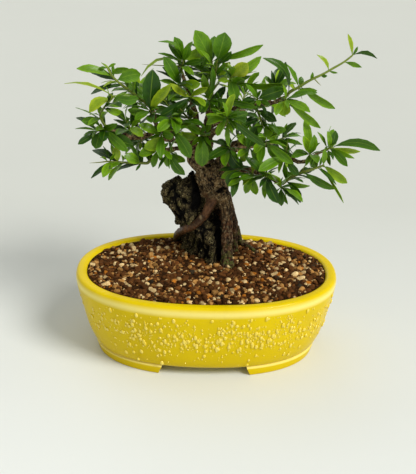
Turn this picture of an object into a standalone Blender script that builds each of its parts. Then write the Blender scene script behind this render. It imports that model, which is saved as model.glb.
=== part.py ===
"""A firethorn bonsai: a tree rooted over a rock, in an oval glazed pot filled with coarse soil."""
import math
import random
from collections import namedtuple

import bmesh
import bpy
from mathutils import Matrix, Vector
from mathutils.bvhtree import BVHTree
from mathutils.geometry import delaunay_2d_cdt

MM = 0.001

# The pot: a squarish oval, upright at the rim and drawn in a little more at its ends than at its front
POT_LENGTH = 250.0
POT_WIDTH = 171.4
POT_HEIGHT = 79.6
POT_SQUARENESS = 2.25
POT_SIDES = 32
FOOT_HEIGHT = 8.9
FLOOR_TOP = 17.0
FOOT_GAP_TOP = 39.5
FOOT_GAP_BOTTOM = 43.5
DRAIN_X = 45.0
DRAIN_RADIUS = 8.0

# Each profile point is its distance in from the rim's outer oval, then its height
POT_OUTSIDE = [
    (7.2, POT_HEIGHT), (2.6, POT_HEIGHT), (0.4, 77.6), (0.0, 73.0), (3.5, 55.0), (8.2, 35.0),
    (12.7, 17.0), (15.9, FOOT_HEIGHT), (14.7, 7.5), (15.8, 0.0),
]
POT_UNDERSIDE = [(25.5, 0.0), (26.5, FOOT_HEIGHT)]
POT_INSIDE = [(9.2, 78.0), (9.9, 70.0), (16.5, 30.0), (25.5, FLOOR_TOP)]
END_DRAW = 4.5
END_DRAW_FROM = 26.0

# The soil and the plastic mesh under it
CLEARANCE = 0.3
SOIL_EDGE = 76.8
SOIL_CROWN = 3.6
GRAIN_PITCH = 9.5
GRAIN_RELIEF = 1.5
MESH_SIDE = 27.0
MESH_HOLES = 3
MESH_BAR = 2.0
MESH_THICKNESS = 1.2

# The rock: centre x, centre y, half width, half depth and height of each level
ROCK_LEVELS = [
    (-1.0, 36.0, 15.0, 25.0, 52.0), (-1.0, 36.0, 19.0, 31.0, 68.0), (-1.0, 36.0, 21.0, 34.0, 84.0),
    (-1.0, 36.0, 20.0, 31.0, 97.0), (-4.0, 35.5, 20.0, 28.0, 106.0), (-9.5, 34.0, 22.0, 25.0, 114.0),
    (-13.0, 33.0, 21.5, 23.0, 121.0), (-16.5, 33.0, 21.5, 21.0, 129.0), (-21.0, 33.0, 23.5, 19.0, 138.0),
    (-21.5, 32.0, 23.0, 18.0, 146.0), (-20.5, 31.5, 19.0, 15.0, 152.5), (-23.0, 31.0, 14.0, 11.0, 157.0),
]
ROCK_SPUR = [
    (-14.0, 31.0, 7.0, 8.0, 144.0), (-14.5, 31.0, 5.0, 6.0, 155.0), (-15.0, 31.0, 4.0, 4.5, 161.0),
    (-15.3, 31.0, 2.0, 2.2, 166.0),
]
ROCK_SIDES = 15
SPUR_SIDES = 7
ROCK_ROUGHNESS = 0.14
ROCK_CHIP = 1.6

# How far the rock's foot slants sideways for each step back, and the height over which the slant fades
ROCK_SLANT = -0.45
SLANT_FADES = (98.0, 118.0)

# How far the rock's top falls to the right for each step across
ROCK_TILT = 0.12
TILT_FROM = 150.0

# The point in front of the pot that the tree is composed for
EYE = Vector((0.9, -913.5, 518.4))

# Every limb and root: how far across and up it reads from the front, its depth behind the pot's middle
# plane, and its radius there, in millimetres
LIMBS = {
    "bole": [(8, 146, 29, 11), (7, 156, 29, 13.5), (5, 168, 29, 15), (4, 178, 28, 15.5), (3, 187, 28, 11)],
    "left": [(-2, 179, 27, 10), (-11, 186, 25, 6.8), (-16, 194, 22, 5.2), (-15, 204, 22, 4.4),
             (-13.5, 214, 24, 3.8), (-12, 227, 28, 3.4), (-15, 240, 28, 2.9), (-18, 250, 27, 2.5),
             (-22, 261, 25, 2.1), (-25.5, 271, 22, 1.8)],
    "leader": [(0, 180, 29, 10), (-4, 194, 31, 6.6), (-1, 205, 32, 5.4), (-1.5, 218, 32, 4.9),
               (0, 232, 32, 4.1), (0, 246, 31, 3.2), (1, 259, 29, 2.4)],
    "right": [(11, 178, 27, 10), (13, 190, 26, 6.4), (13.5, 200, 25, 4.8), (22, 205, 22, 3.4),
              (32, 207, 17, 2.9), (46, 207, 10, 2.6), (60, 202, 4, 2.4), (74, 194, 0, 2.2),
              (82, 189.5, -2, 2.0), (90, 190.5, -4, 1.9), (99, 197, -6, 1.7), (106, 201, -8, 1.5)],
    "left_main": [(-15, 205, 22, 3.8), (-24, 211, 18, 3.4), (-35, 216, 13, 3.1), (-46, 217.5, 9, 2.9),
                  (-58, 211.5, 5, 2.6), (-70, 209.5, 2, 2.3), (-82, 214, -2, 2.0), (-92, 216, -4, 1.7)],
    "low_right": [(14, 176, 25, 8), (24, 182, 18, 4.6), (37, 180.5, 10, 3.3), (50, 177.5, 4, 2.8),
                  (60, 172.5, 0, 2.4), (67, 169, -3, 2.0)],
    "high_right": [(-0.5, 228, 32, 3.6), (14, 236, 28, 3.0), (30, 241, 22, 2.6), (47, 243, 14, 2.3),
                   (60, 246.5, 8, 2.0), (66, 250, 6, 1.7)],
    "low_left": [(-15.5, 199, 22, 3.6), (-26, 200, 14, 2.5), (-37, 198.5, 8, 2.2), (-46, 195.5, 3, 2.0),
                 (-51, 189.5, -1, 1.8), (-55, 186.5, -3, 1.6)],
    "high_left": [(-46, 217.5, 9, 2.6), (-49, 226, 12, 2.3), (-51.5, 236, 12, 2.0), (-57, 242, 9, 1.7)],
    "front": [(-1, 212, 32, 4.0), (6, 218, 12, 2.8), (13, 223, -8, 2.2), (16, 226, -24, 1.7)],
    "back_left": [(-2, 214, 34, 4.2), (-18, 222, 54, 2.9), (-38, 232, 74, 2.4), (-52, 240, 86, 1.9)],
    "back_right": [(-1, 222, 34, 4.0), (17, 232, 56, 2.8), (35, 241, 76, 2.3), (48, 247, 88, 1.8)],
    "back_top": [(0, 240, 33, 3.2), (1, 252, 52, 2.4), (-4, 263, 70, 1.9)],
    "back_low_left": [(-12, 203, 26, 4.0), (-30, 207, 46, 2.6), (-52, 210, 62, 1.9)],
    "back_low_right": [(13, 196, 27, 4.4), (34, 203, 46, 2.6), (56, 207, 60, 1.9)],
}
ROOTS = {
    "crossing": [(8, 160, 20, 7), (4.5, 150, 13, 5.2), (-1, 140.5, 10, 4.5), (-7, 132, 10, 4.2),
                 (-13.5, 125.5, 9, 4.0), (-20, 121.5, 14, 4.0), (-25, 117, 34, 4.0), (-28, 112.5, 58, 3.8),
                 (-29.5, 107.5, 66, 3.4), (-29.5, 99, 65, 2.6)],
    "front": [(12, 160, 18, 8), (16, 148, 15, 6.6), (18, 137, 13, 5.8), (18.8, 122, 10, 5.6),
              (19.2, 109, 7, 5.6), (19.6, 95, 4, 5.8), (20, 84, 2, 6.6), (20.5, 66, 1, 5.0)],
    "middle": [(14, 154, 27, 9), (19, 143, 26, 6.2), (22.5, 133, 28, 5.2), (24, 120, 31, 5.0),
               (25, 107, 35, 5.0), (26, 98, 39, 5.2), (27, 82, 41, 3.8)],
    "outer": [(14, 154, 34, 8), (19.5, 142, 38, 6.0), (23, 131, 43, 5.2), (26.3, 121, 49, 4.8),
              (29, 111, 56, 4.8), (31, 105, 60, 4.8), (33, 93, 63, 3.4)],
    "surface": [(29.5, 110, 54, 3.0), (36, 105, 52, 2.5), (42, 101.5, 45, 2.1), (48, 96, 37, 1.6)],
    "back": [(6, 152, 38, 8), (9, 138, 54, 5.2), (12, 124, 62, 4.6), (14, 110, 67, 4.2), (15, 92, 66, 3.2)],
    "back_rock": [(0, 152, 36, 8), (-8, 144, 50, 5.2), (-16, 134, 55, 4.4), (-20, 122, 60, 4.0),
                  (-22, 108, 66, 3.6), (-23, 92, 67, 2.8)],
}
ROUNDNESS = {"bole": 2, "left": 1, "leader": 1, "crossing": 1, "front": 1, "middle": 1, "outer": 1}

# A leaf: how far along its twig it grows, where its tip reads from the front, how much nearer (negative) or
# further its tip lies than its foot, its width, its turn from facing the front, and how far it bows sideways
Leaf = namedtuple("Leaf", "along across up step width turn bow")

# A spray: the limb it grows from, how far along that limb, its twig, its leaves, its thorns as how far along
# and where the point reads, and how many small leaves fill it
Spray = namedtuple("Spray", "limb at twig leaves thorns extra")

SPRAYS = {
    "high_left_tip": Spray("high_left", 1.0, [
        (-63, 246, 6), (-70, 252, 2), (-78, 258, -3), (-84, 263, -7), (-89, 269, -10), (-92, 275, -12)], [
        Leaf(0.78, -119, 273, -8, 8, 25, -2),
        Leaf(0.70, -62, 269, 4, 14, 15, 2),
        Leaf(1.0, -84, 278, 2, 3.5, 30, 1),
        Leaf(0.98, -99, 274, -2, 3, 40, 0),
        Leaf(0.56, -90, 257, -6, 4, 30, 0),
        Leaf(0.30, -69, 264, -8, 7, 65, 1),
        Leaf(0.84, -73, 274, -8, 7, 25, 2)], [(0.6, -97, 259)], 1),
    "young_left": Spray("left_main", 0.93, [
        (-96, 222, -9), (-99, 230, -14), (-95, 238, -16), (-89, 245, -17), (-86, 249, -18)], [
        Leaf(0.97, -130, 260, -6, 6, 58, -2),
        Leaf(0.90, -109, 233, -6, 10, 15, -3),
        Leaf(0.98, -64, 247, 8, 9, 20, -2),
        Leaf(0.35, -116, 224, -5, 9, 20, 2),
        Leaf(0.60, -80, 232, 4, 8, 30, 1)], [], 1),
    "left_tip": Spray("left_main", 1.0, [(-97, 215.5, -6), (-103, 215.5, -8)], [
        Leaf(0.65, -104, 198, -8, 12, 10, 0),
        Leaf(0.30, -70, 203, -14, 14, 15, -2),
        Leaf(1.0, -120, 202, -6, 7, 25, 1),
        Leaf(1.0, -122, 217, -4, 4, 50, 0),
        Leaf(0.9, -115, 211, -2, 3, 40, 0),
        Leaf(0.2, -74, 196, -3, 9, 20, 0),
        Leaf(0.6, -84, 222, 4, 7, 30, 1)], [(1.0, -134, 218)], 1),
    "low_left_tip": Spray("low_left", 1.0, [
        (-62, 185, -6), (-72, 185, -9), (-84, 185.5, -12), (-95, 186, -14)], [
        Leaf(0.72, -86, 200, -5, 8, 10, 0),
        Leaf(0.90, -86, 194, -3, 4, 30, 1),
        Leaf(0.20, -77, 192, -7, 11, 25, 0),
        Leaf(0.08, -89, 175, -6, 7, 62, 0),
        Leaf(0.40, -109, 169, -10, 7, 40, -3)], [(1.0, -110, 184)], 0),
    "great_leaf": Spray("high_left", 0.55, [(-53, 233, 4), (-54, 236, -4)], [
        Leaf(0.95, -51, 272, -8, 17, 10, 1),
        Leaf(0.55, -35, 261, -16, 10, 20, 3),
        Leaf(0.80, -68, 227, -6, 8, 25, 0),
        Leaf(0.60, -74, 236, -2, 8, 30, 2)], [], 1),
    "left_middle": Spray("left_main", 0.42, [(-44, 214, 0), (-43, 212, -8)], [
        Leaf(1.0, -59, 199, -6, 12, 15, 3),
        Leaf(0.7, -33, 212, -10, 9, 20, 1),
        Leaf(0.7, -64, 222, -4, 9, 25, 0)], [], 1),
    "low_left_middle": Spray("low_left", 0.62, [(-47, 198, -4), (-45, 200, -10)], [
        Leaf(0.6, -51.5, 181, -4, 7, 25, 0),
        Leaf(1.0, -64, 193, -5, 10, 20, 0),
        Leaf(1.0, -37, 205, -3, 4, 35, 0),
        Leaf(0.5, -43, 187, 6, 6, 30, 0)], [], 0),
    "left_hanging": Spray("left_main", 0.20, [(-28, 216, 6), (-34, 217, -4)], [
        Leaf(0.95, -17, 191, -8, 12, 12, 2),
        Leaf(0.6, -11, 211, 4, 9, 35, 0),
        Leaf(1.0, -46, 224, -6, 9, 25, 1),
        Leaf(0.8, -27, 230, -6, 8, 30, 0)], [(0.5, -30, 206)], 1),
    "low_left_hanging": Spray("low_left", 0.36, [(-35, 196.5, 2), (-36, 196, -6)], [
        Leaf(1.0, -22, 174, -4, 9, 20, -2),
        Leaf(0.5, -22, 187, 8, 8, 25, 0),
        Leaf(0.7, -38.5, 182, 2, 7, 20, 0)], [], 0),
    "over_trunk": Spray("front", 0.25, [(-4, 213, 8), (-8, 213, 0)], [
        Leaf(1.0, -6, 183, -2, 14, 10, 1),
        Leaf(0.5, 3, 195, 4, 7, 25, 0),
        Leaf(0.8, -20, 222, -5, 8, 30, 0)], [], 1),
    "yellow_pair": Spray("left", 0.68, [(-17, 249, 16), (-18, 249, 6)], [
        Leaf(0.9, -36, 261, -6, 7, 35, 2),
        Leaf(0.8, -2, 258, -4, 8, 40, 2),
        Leaf(1.0, -46, 230, -8, 9, 25, 2),
        Leaf(0.5, -28, 234, 4, 8, 25, 0)], [], 1),
    "top_left": Spray("left", 1.0, [(-25.5, 277, 17), (-24, 283, 12)], [
        Leaf(1.0, -37, 299, 2, 10, 20, 0),
        Leaf(0.95, -32, 303, -6, 9, 35, 0),
        Leaf(0.8, -46, 299, -10, 6, 55, -5),
        Leaf(1.0, -5, 291, 4, 10, 25, 2),
        Leaf(0.9, -62, 268, -8, 5, 55, -6),
        Leaf(0.7, -46, 289, -14, 5, 50, 0),
        Leaf(0.9, -20, 296, -4, 8, 30, 0),
        Leaf(0.6, -7, 283, -6, 7, 35, 1),
        Leaf(0.7, -7, 263, -6, 6, 45, -3)], [(0.5, -61, 278)], 1),
    "left_crown": Spray("left", 0.84, [(-25, 260, 15), (-28, 259, 8)], [
        Leaf(0.95, -41, 285, -8, 11, 15, 0),
        Leaf(0.6, -9, 261, -8, 10, 25, 1),
        Leaf(1.0, -45, 264, -4, 6, 30, 0),
        Leaf(0.45, -48, 273, -2, 5, 50, 0)], [(0.8, -42, 268)], 1),
    "top": Spray("leader", 1.0, [(1, 268, 26), (1, 276, 23), (1, 283, 20)], [
        Leaf(0.95, -14, 309, -6, 16, 10, 0),
        Leaf(0.80, -9, 292, -10, 6, 45, 0),
        Leaf(0.60, -17, 279, -4, 5, 50, 2)], [], 2),
    "top_right": Spray("leader", 0.82, [(4, 266, 20), (5, 276, 17), (6, 284, 14)], [
        Leaf(0.97, 12, 308, -4, 17, 12, 0),
        Leaf(1.0, 46, 297, -4, 8, 35, 1),
        Leaf(0.85, 18, 291, -10, 8, 40, 0),
        Leaf(0.55, 13, 281, -8, 6, 30, 0)], [], 1),
    "right_crown": Spray("high_right", 0.30, [(16, 250, 18), (18, 262, 11), (19, 270, 7)], [
        Leaf(1.0, 33, 281, -6, 14, 15, 0),
        Leaf(0.9, 45, 287, 8, 10, 25, 0),
        Leaf(0.85, 24, 248, -12, 11, 15, 0),
        Leaf(0.8, 66, 263, -6, 8, 40, -1),
        Leaf(0.7, 36, 270, 6, 5, 30, 1),
        Leaf(0.8, 7, 265, -6, 6, 30, 0)], [(0.95, 41, 274)], 1),
    "right_shield": Spray("high_right", 0.68, [(44, 246, 6), (42, 249, 0)], [
        Leaf(0.9, 67, 258, -4, 12, 15, 1),
        Leaf(1.0, 32, 262, -4, 6, 45, 0),
        Leaf(0.8, 37, 261, 6, 5, 45, 0),
        Leaf(0.6, 28, 240, -6, 8, 30, 0)], [], 1),
    "long_shoot": Spray("high_right", 1.0, [
        (72, 256, 2), (79, 260, -2), (86, 265, -5), (93, 269, -8), (100, 272.5, -10), (107, 277, -12),
        (118, 284, -14), (126, 291, -16)], [
        Leaf(0.08, 46, 286, -6, 8, 35, -8),
        Leaf(0.25, 68, 281, -4, 6, 40, 0),
        Leaf(0.27, 113, 241, -6, 8, 25, 0),
        Leaf(0.22, 96, 257, 4, 6, 25, 0),
        Leaf(0.26, 81, 270, 4, 6, 30, 0),
        Leaf(0.20, 71, 262, -6, 4, 40, 0),
        Leaf(0.42, 91, 274, -2, 4, 30, 0),
        Leaf(0.55, 104, 271, -2, 4, 30, 0),
        Leaf(0.66, 94, 290, -3, 5, 30, -2),
        Leaf(0.66, 113, 274, 0, 3, 40, 0),
        Leaf(0.86, 134, 279.5, -3, 5, 25, 1),
        Leaf(0.98, 120, 309, 0, 5, 35, 0),
        Leaf(1.0, 147, 287, -2, 5, 30, 5),
        Leaf(1.0, 129, 298, 0, 3, 30, 0)],
        [(0.24, 83, 249), (0.45, 87, 272), (0.47, 99, 262), (0.58, 110, 261), (0.84, 139, 273)], 0),
    "under_shoot": Spray("high_right", 0.90, [(65, 247, 0), (69, 249, -8)], [
        Leaf(0.8, 66, 233, -6, 14, 15, 0),
        Leaf(1.0, 101, 222, -6, 8, 30, 1),
        Leaf(0.9, 82, 245, 4, 7, 30, 0)], [(1.0, 87, 249)], 0),
    "right_inner": Spray("high_right", 0.55, [(43, 238, 8), (46, 230, 2), (49, 221, -3)], [
        Leaf(0.15, 61, 228, -8, 9, 20, 1),
        Leaf(0.45, 61, 213, -8, 6, 45, 0),
        Leaf(0.95, 70, 219, 4, 8, 20, 1),
        Leaf(1.0, 60, 210, 2, 8, 25, 0),
        Leaf(0.6, 30, 224, -6, 8, 30, 0)], [], 1),
    "front_middle": Spray("front", 1.0, [(16.5, 228, -29), (16, 231, -34)], [
        Leaf(0.9, 52, 204, -8, 8, 30, 1),
        Leaf(1.0, 12, 245, -2, 5, 40, 0),
        Leaf(0.6, -3, 224, -3, 8, 25, -2),
        Leaf(0.5, 18, 203, -4, 6, 20, 0),
        Leaf(0.8, 7, 213, -5, 8, 25, 0),
        Leaf(0.9, 35, 235, 4, 9, 25, 0)], [], 0),
    "front_leader": Spray("leader", 0.66, [(0, 246, 16), (-1, 247, 4)], [
        Leaf(0.9, 43, 240, -8, 7, 30, 3),
        Leaf(1.0, -9, 235, -8, 8, 25, 0),
        Leaf(0.7, 9, 232, -4, 6, 35, 0),
        Leaf(0.8, 1, 277, -2, 8, 35, 0),
        Leaf(0.6, 14, 259, 4, 8, 30, 0)], [], 0),
    "right_middle": Spray("right", 0.50, [(50, 209, 0), (53, 207, -9)], [
        Leaf(1.0, 78, 187, -6, 9, 25, 1),
        Leaf(0.6, 74, 196, 4, 7, 30, 8),
        Leaf(0.8, 66, 190, 6, 9, 30, 0),
        Leaf(1.0, 80, 193, 2, 5, 45, 1)], [], 1),
    "right_lower": Spray("right", 0.68, [(70, 194, -6), (71, 192, -13)], [
        Leaf(1.0, 84, 176, -8, 8, 20, 0),
        Leaf(0.6, 54, 182, -2, 9, 25, -1),
        Leaf(0.7, 73, 171, 6, 6, 35, 0)], [(0.6, 72, 211)], 0),
    "right_fan": Spray("right", 0.85, [(92, 194, -7), (93, 197, -12)], [
        Leaf(0.8, 86, 231, 4, 8, 20, 0),
        Leaf(1.0, 86, 214, -3, 8, 20, 0),
        Leaf(1.0, 96, 215, -8, 8, 20, 0),
        Leaf(0.6, 76, 194, -4, 8, 25, -2),
        Leaf(0.7, 99, 184, 4, 8, 25, 0)], [], 0),
    "right_tip": Spray("right", 1.0, [(110, 203, -9), (114, 204.5, -10)], [
        Leaf(1.0, 157, 202, -8, 9, 20, 7),
        Leaf(0.9, 139, 200.5, 2, 6, 25, 0),
        Leaf(0.8, 134, 194, -6, 6, 25, 0),
        Leaf(0.5, 128, 186, -9, 8, 20, 2),
        Leaf(0.8, 115, 220, 0, 7, 15, 0),
        Leaf(0.6, 108, 219, -6, 5, 30, 0),
        Leaf(0.3, 99, 219, 2, 4, 45, 0),
        Leaf(0.4, 112, 186, 2, 5, 30, 0)], [(0.7, 104, 226)], 0),
    "low_right_tip": Spray("low_right", 1.0, [
        (75, 173, -6), (84, 178, -9), (92, 181, -12), (100, 184, -14), (107, 187, -15)], [
        Leaf(0.55, 118, 163, -8, 9, 25, 0),
        Leaf(0.97, 129, 169, -5, 9, 25, 1),
        Leaf(1.0, 106, 203, -6, 6, 25, 0),
        Leaf(0.90, 127, 149, 2, 5, 50, 4),
        Leaf(0.35, 70, 176, -4, 7, 30, 0),
        Leaf(0.12, 95, 165, 2, 6, 35, 0),
        Leaf(0.14, 87, 149, -6, 8, 25, 3)], [(0.5, 91, 191)], 0),
    "low_right_under": Spray("low_right", 0.84, [(65, 167, -6), (68, 163, -13)], [
        Leaf(1.0, 81, 155, -3, 7, 25, 1),
        Leaf(1.0, 69, 145, -3, 7, 20, 0),
        Leaf(0.8, 75, 147, 4, 5, 30, 0)], [], 0),
    "low_right_broad": Spray("low_right", 0.60, [(52, 175, -3), (54, 174, -10)], [
        Leaf(1.0, 66, 148, -5, 11, 20, 0),
        Leaf(0.8, 34, 193, -4, 9, 30, 0),
        Leaf(0.6, 64, 171, 6, 6, 30, 2),
        Leaf(0.9, 53, 152, 2, 6, 30, 0)], [(0.5, 59, 157)], 0),
    "low_right_hanging": Spray("low_right", 0.42, [(40, 177, 2), (40, 175, -5)], [
        Leaf(0.8, 35, 157, -2, 8, 15, 0),
        Leaf(1.0, 45, 156, -3, 8, 15, 0)], [], 0),
    "low_right_inner": Spray("low_right", 0.24, [(26, 181, 9), (29, 180, 1)], [
        Leaf(1.0, 18, 164, -4, 12, 10, 0),
        Leaf(0.6, 12, 172, -2, 7, 25, 0)], [], 0),
    "right_hanging": Spray("right", 0.22, [(17, 202, 12), (19, 201, 3)], [
        Leaf(1.0, 31, 182, -3, 12, 15, -2),
        Leaf(0.8, 5, 197, -3, 7, 25, 0),
        Leaf(0.6, 8, 209, -4, 8, 30, 0)], [], 0),
    "right_curtain": Spray("right", 0.38, [(35, 204, 8), (38, 201, 0)], [
        Leaf(0.5, 31, 188, -2, 8, 20, 0),
        Leaf(1.0, 54, 180, -4, 8, 30, 0),
        Leaf(0.8, 49, 191, 6, 7, 30, 0),
        Leaf(0.6, 25, 214, -5, 8, 30, 0)], [], 0),
    "inner_left": Spray("left", 0.50, [(-22, 232, 14), (-27, 238, 4)], [], [], 8),
    "inner_leader": Spray("leader", 0.50, [(6, 232, 18), (9, 238, 6)], [], [], 7),
    "inner_left_main": Spray("left_main", 0.30, [(-30, 224, 2), (-36, 230, -10)], [], [], 7),
    "inner_right": Spray("high_right", 0.42, [(24, 236, 10), (28, 232, -2)], [], [], 7),
    "inner_low_right": Spray("right", 0.30, [(28, 212, 8), (34, 216, -4)], [], [], 7),
    "inner_top": Spray("leader", 0.90, [(-4, 268, 36), (-10, 276, 40)], [], [], 7),
    "outer_left": Spray("left_main", 0.70, [(-72, 218, -2), (-76, 226, -6)], [], [], 6),
    "outer_low_left": Spray("left_main", 0.62, [(-62, 206, 10), (-68, 203, 14)], [], [], 6),
    "upper_left": Spray("high_left", 0.85, [(-58, 246, 18), (-62, 254, 22)], [], [], 6),
    "upper_right": Spray("high_right", 0.80, [(56, 254, 16), (58, 262, 20)], [], [], 6),
    "back_left_tip": Spray("back_left", 1.0, [(-58, 245, 90), (-65, 251, 93)], [], [(0.6, -70, 240)], 7),
    "back_left_middle": Spray("back_left", 0.62, [(-36, 238, 70), (-40, 247, 76)], [], [], 6),
    "back_right_tip": Spray("back_right", 1.0, [(54, 251, 92), (61, 256, 95)], [], [(0.6, 70, 250)], 7),
    "back_right_middle": Spray("back_right", 0.62, [(30, 247, 72), (32, 256, 78)], [], [], 6),
    "back_top_tip": Spray("back_top", 1.0, [(-5, 270, 78), (-6, 277, 84)], [], [], 7),
    "back_top_middle": Spray("back_top", 0.55, [(8, 264, 54), (12, 271, 56)], [], [], 5),
    "back_low_left_tip": Spray("back_low_left", 1.0, [(-60, 212, 68), (-67, 215, 72)], [], [], 7),
    "back_low_left_middle": Spray("back_low_left", 0.55, [(-34, 215, 56), (-38, 222, 64)], [], [], 5),
    "back_low_right_tip": Spray("back_low_right", 1.0, [(63, 210, 66), (70, 213, 70)], [], [], 7),
    "back_low_right_middle": Spray("back_low_right", 0.55, [(38, 210, 56), (42, 216, 64)], [], [], 5),
}

# Twigs, thorns and blades
TWIG_FOOT_RADIUS = 1.3
TWIG_TIP_RADIUS = 0.8
STUB_LENGTH = 2.2
THORN_RADIUS = 0.75
THORN_POINT = 0.2
ROOT_DEPTH = 1.5
BLADE_THICKNESS = 0.7
BLADE_ARCH = 0.06
BLADE_KEEL = 0.13
BROAD_WIDTH = 11.0
SMALL_LEAF = (16.0, 30.0)
SMALL_LEAF_SLENDERNESS = (0.30, 0.40)
SAFE_GAP = 0.45
SEED = 41

# How far along the blade, then the share of its width there
SLENDER_OUTLINE = [(0.0, 0.0), (0.36, 0.90), (0.72, 0.82), (1.0, 0.0)]
BROAD_OUTLINE = [(0.0, 0.0), (0.34, 0.78), (0.66, 1.0), (0.89, 0.70), (1.0, 0.0)]

# What a leaf that meets another may try: its tip moved along the line of sight, and its blade turned
SHIFTS = [(0, 0), (0, 18), (0, -18), (-5, 0), (5, 0), (-5, 20), (5, -20), (-10, 0), (10, 0), (0, 35),
          (-15, 0), (15, 0), (-20, 15), (20, -15), (-26, 0), (26, 0), (0, -40), (-12, 30), (12, 30)]


def seen(across, up, depth):
    """The place that reads at across and up from the front, at a depth behind the pot's middle plane."""
    reading = Vector((across, 0.0, up))
    return EYE + (reading - EYE) * (1.0 - depth / EYE.y)


def clear_scene():
    for thing in list(bpy.data.objects):
        bpy.data.objects.remove(thing, do_unlink=True)


def new_collection(name):
    group = bpy.data.collections.new(name)
    bpy.context.scene.collection.children.link(group)
    return group


def material(name, colour, roughness, metallic=0.0):
    """A plain finish with the piece's own colour."""
    finish = bpy.data.materials.new(name)
    finish.use_nodes = True
    shader = finish.node_tree.nodes["Principled BSDF"]
    shader.inputs["Base Color"].default_value = (*colour, 1.0)
    shader.inputs["Roughness"].default_value = roughness
    shader.inputs["Metallic"].default_value = metallic
    return finish


def add_mesh(name, points, faces, group, finish=None):
    """An object from points in millimetres and the faces between them."""
    mesh = bpy.data.meshes.new(name)
    mesh.from_pydata([Vector(point) * MM for point in points], [], faces)
    mesh.update()
    thing = bpy.data.objects.new(name, mesh)
    if finish:
        mesh.materials.append(finish)
    group.objects.link(thing)
    return thing


def evaluated_copy(thing, name, group):
    """The object as its modifiers or its curve settings leave it, as a plain mesh with its seams joined."""
    graph = bpy.context.evaluated_depsgraph_get()
    mesh = bpy.data.meshes.new_from_object(thing.evaluated_get(graph))
    shape = bmesh.new()
    shape.from_mesh(mesh)
    bmesh.ops.remove_doubles(shape, verts=shape.verts, dist=0.00001)
    bmesh.ops.recalc_face_normals(shape, faces=shape.faces)
    shape.to_mesh(mesh)
    shape.free()
    place = thing.matrix_world.copy()
    bpy.data.objects.remove(thing, do_unlink=True)
    copy = bpy.data.objects.new(name, mesh)
    copy.matrix_world = place
    group.objects.link(copy)
    return copy


def tube(name, points, radii, group, roundness):
    """A tapered tube along points in millimetres, with flat ends."""
    curve = bpy.data.curves.new(name, "CURVE")
    curve.dimensions = "3D"
    curve.bevel_depth = MM
    curve.bevel_resolution = roundness
    curve.use_fill_caps = True
    line = curve.splines.new("POLY")
    line.points.add(len(points) - 1)
    for knot, point, radius in zip(line.points, points, radii):
        knot.co = (*(point * MM), 1.0)
        knot.radius = radius
    thing = bpy.data.objects.new(name, curve)
    group.objects.link(thing)
    bpy.context.view_layer.update()
    return evaluated_copy(thing, name, group)


def boolean(target, tool, operation):
    """Joins or cuts the target with an object or with a whole collection, and applies it."""
    step = target.modifiers.new(operation.title(), "BOOLEAN")
    step.operation = operation
    step.solver = "EXACT"
    if isinstance(tool, bpy.types.Collection):
        step.operand_type = "COLLECTION"
        step.collection = tool
    else:
        step.object = tool
    graph = bpy.context.evaluated_depsgraph_get()
    mesh = bpy.data.meshes.new_from_object(target.evaluated_get(graph))
    target.modifiers.remove(step)
    old = target.data
    target.data = mesh
    mesh.name = old.name
    bpy.data.meshes.remove(old)


def empty_collection(group):
    for thing in list(group.objects):
        bpy.data.objects.remove(thing, do_unlink=True)
    bpy.data.collections.remove(group)


def bodies_of(shape):
    """The sets of faces that hang together across shared edges, the largest first."""
    left = set(shape.faces)
    bodies = []
    while left:
        stack = [left.pop()]
        body = set(stack)
        while stack:
            for edge in stack.pop().edges:
                for face in edge.link_faces:
                    if face not in body:
                        body.add(face)
                        stack.append(face)
        left -= body
        bodies.append(body)
    bodies.sort(key=len, reverse=True)
    return bodies


def tidy_mesh(thing, merge_flat=False):
    """Joins stray doubles, drops slivers and loose scraps, and keeps only the largest body."""
    shape = bmesh.new()
    shape.from_mesh(thing.data)
    bmesh.ops.remove_doubles(shape, verts=shape.verts, dist=0.00001)
    bmesh.ops.dissolve_degenerate(shape, dist=0.00001, edges=shape.edges)
    if merge_flat:
        bmesh.ops.dissolve_limit(shape, angle_limit=0.01, verts=shape.verts, edges=shape.edges)
    idle = [vert for vert in shape.verts if len(vert.link_edges) == 2]
    bmesh.ops.dissolve_verts(shape, verts=idle)
    bmesh.ops.triangulate(shape, faces=shape.faces)
    scraps = [face for body in bodies_of(shape)[1:] for face in body]
    bmesh.ops.delete(shape, geom=scraps, context="FACES")
    shape.to_mesh(thing.data)
    shape.free()


def oval(inset, height, sides=POT_SIDES):
    """A ring of points at a distance in from the rim's outer oval."""
    half_length = POT_LENGTH / 2 - inset - END_DRAW * max(0.0, 1 - height / END_DRAW_FROM)
    half_width = POT_WIDTH / 2 - inset
    power = 2 / POT_SQUARENESS
    ring = []
    for side in range(sides):
        angle = 2 * math.pi * side / sides
        x = math.copysign(abs(math.cos(angle)) ** power, math.cos(angle))
        y = math.copysign(abs(math.sin(angle)) ** power, math.sin(angle))
        ring.append(Vector((half_length * x, half_width * y, height)))
    return ring


def loft(rings, split=False):
    """Points and faces of a skin through equal rings, closed at both ends, for rings that turn
    anticlockwise seen from above and run from the bottom to the top; split makes its sides triangles."""
    sides = len(rings[0])
    points = [point for ring in rings for point in ring]
    faces = [tuple(reversed(range(sides)))]
    for level in range(len(rings) - 1):
        for side in range(sides):
            after = (side + 1) % sides
            low = level * sides
            high = low + sides
            if split:
                faces.append((low + side, low + after, high + after))
                faces.append((low + side, high + after, high + side))
            else:
                faces.append((low + side, low + after, high + after, high + side))
    top = (len(rings) - 1) * sides
    faces.append(tuple(range(top, top + sides)))
    return points, faces


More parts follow.
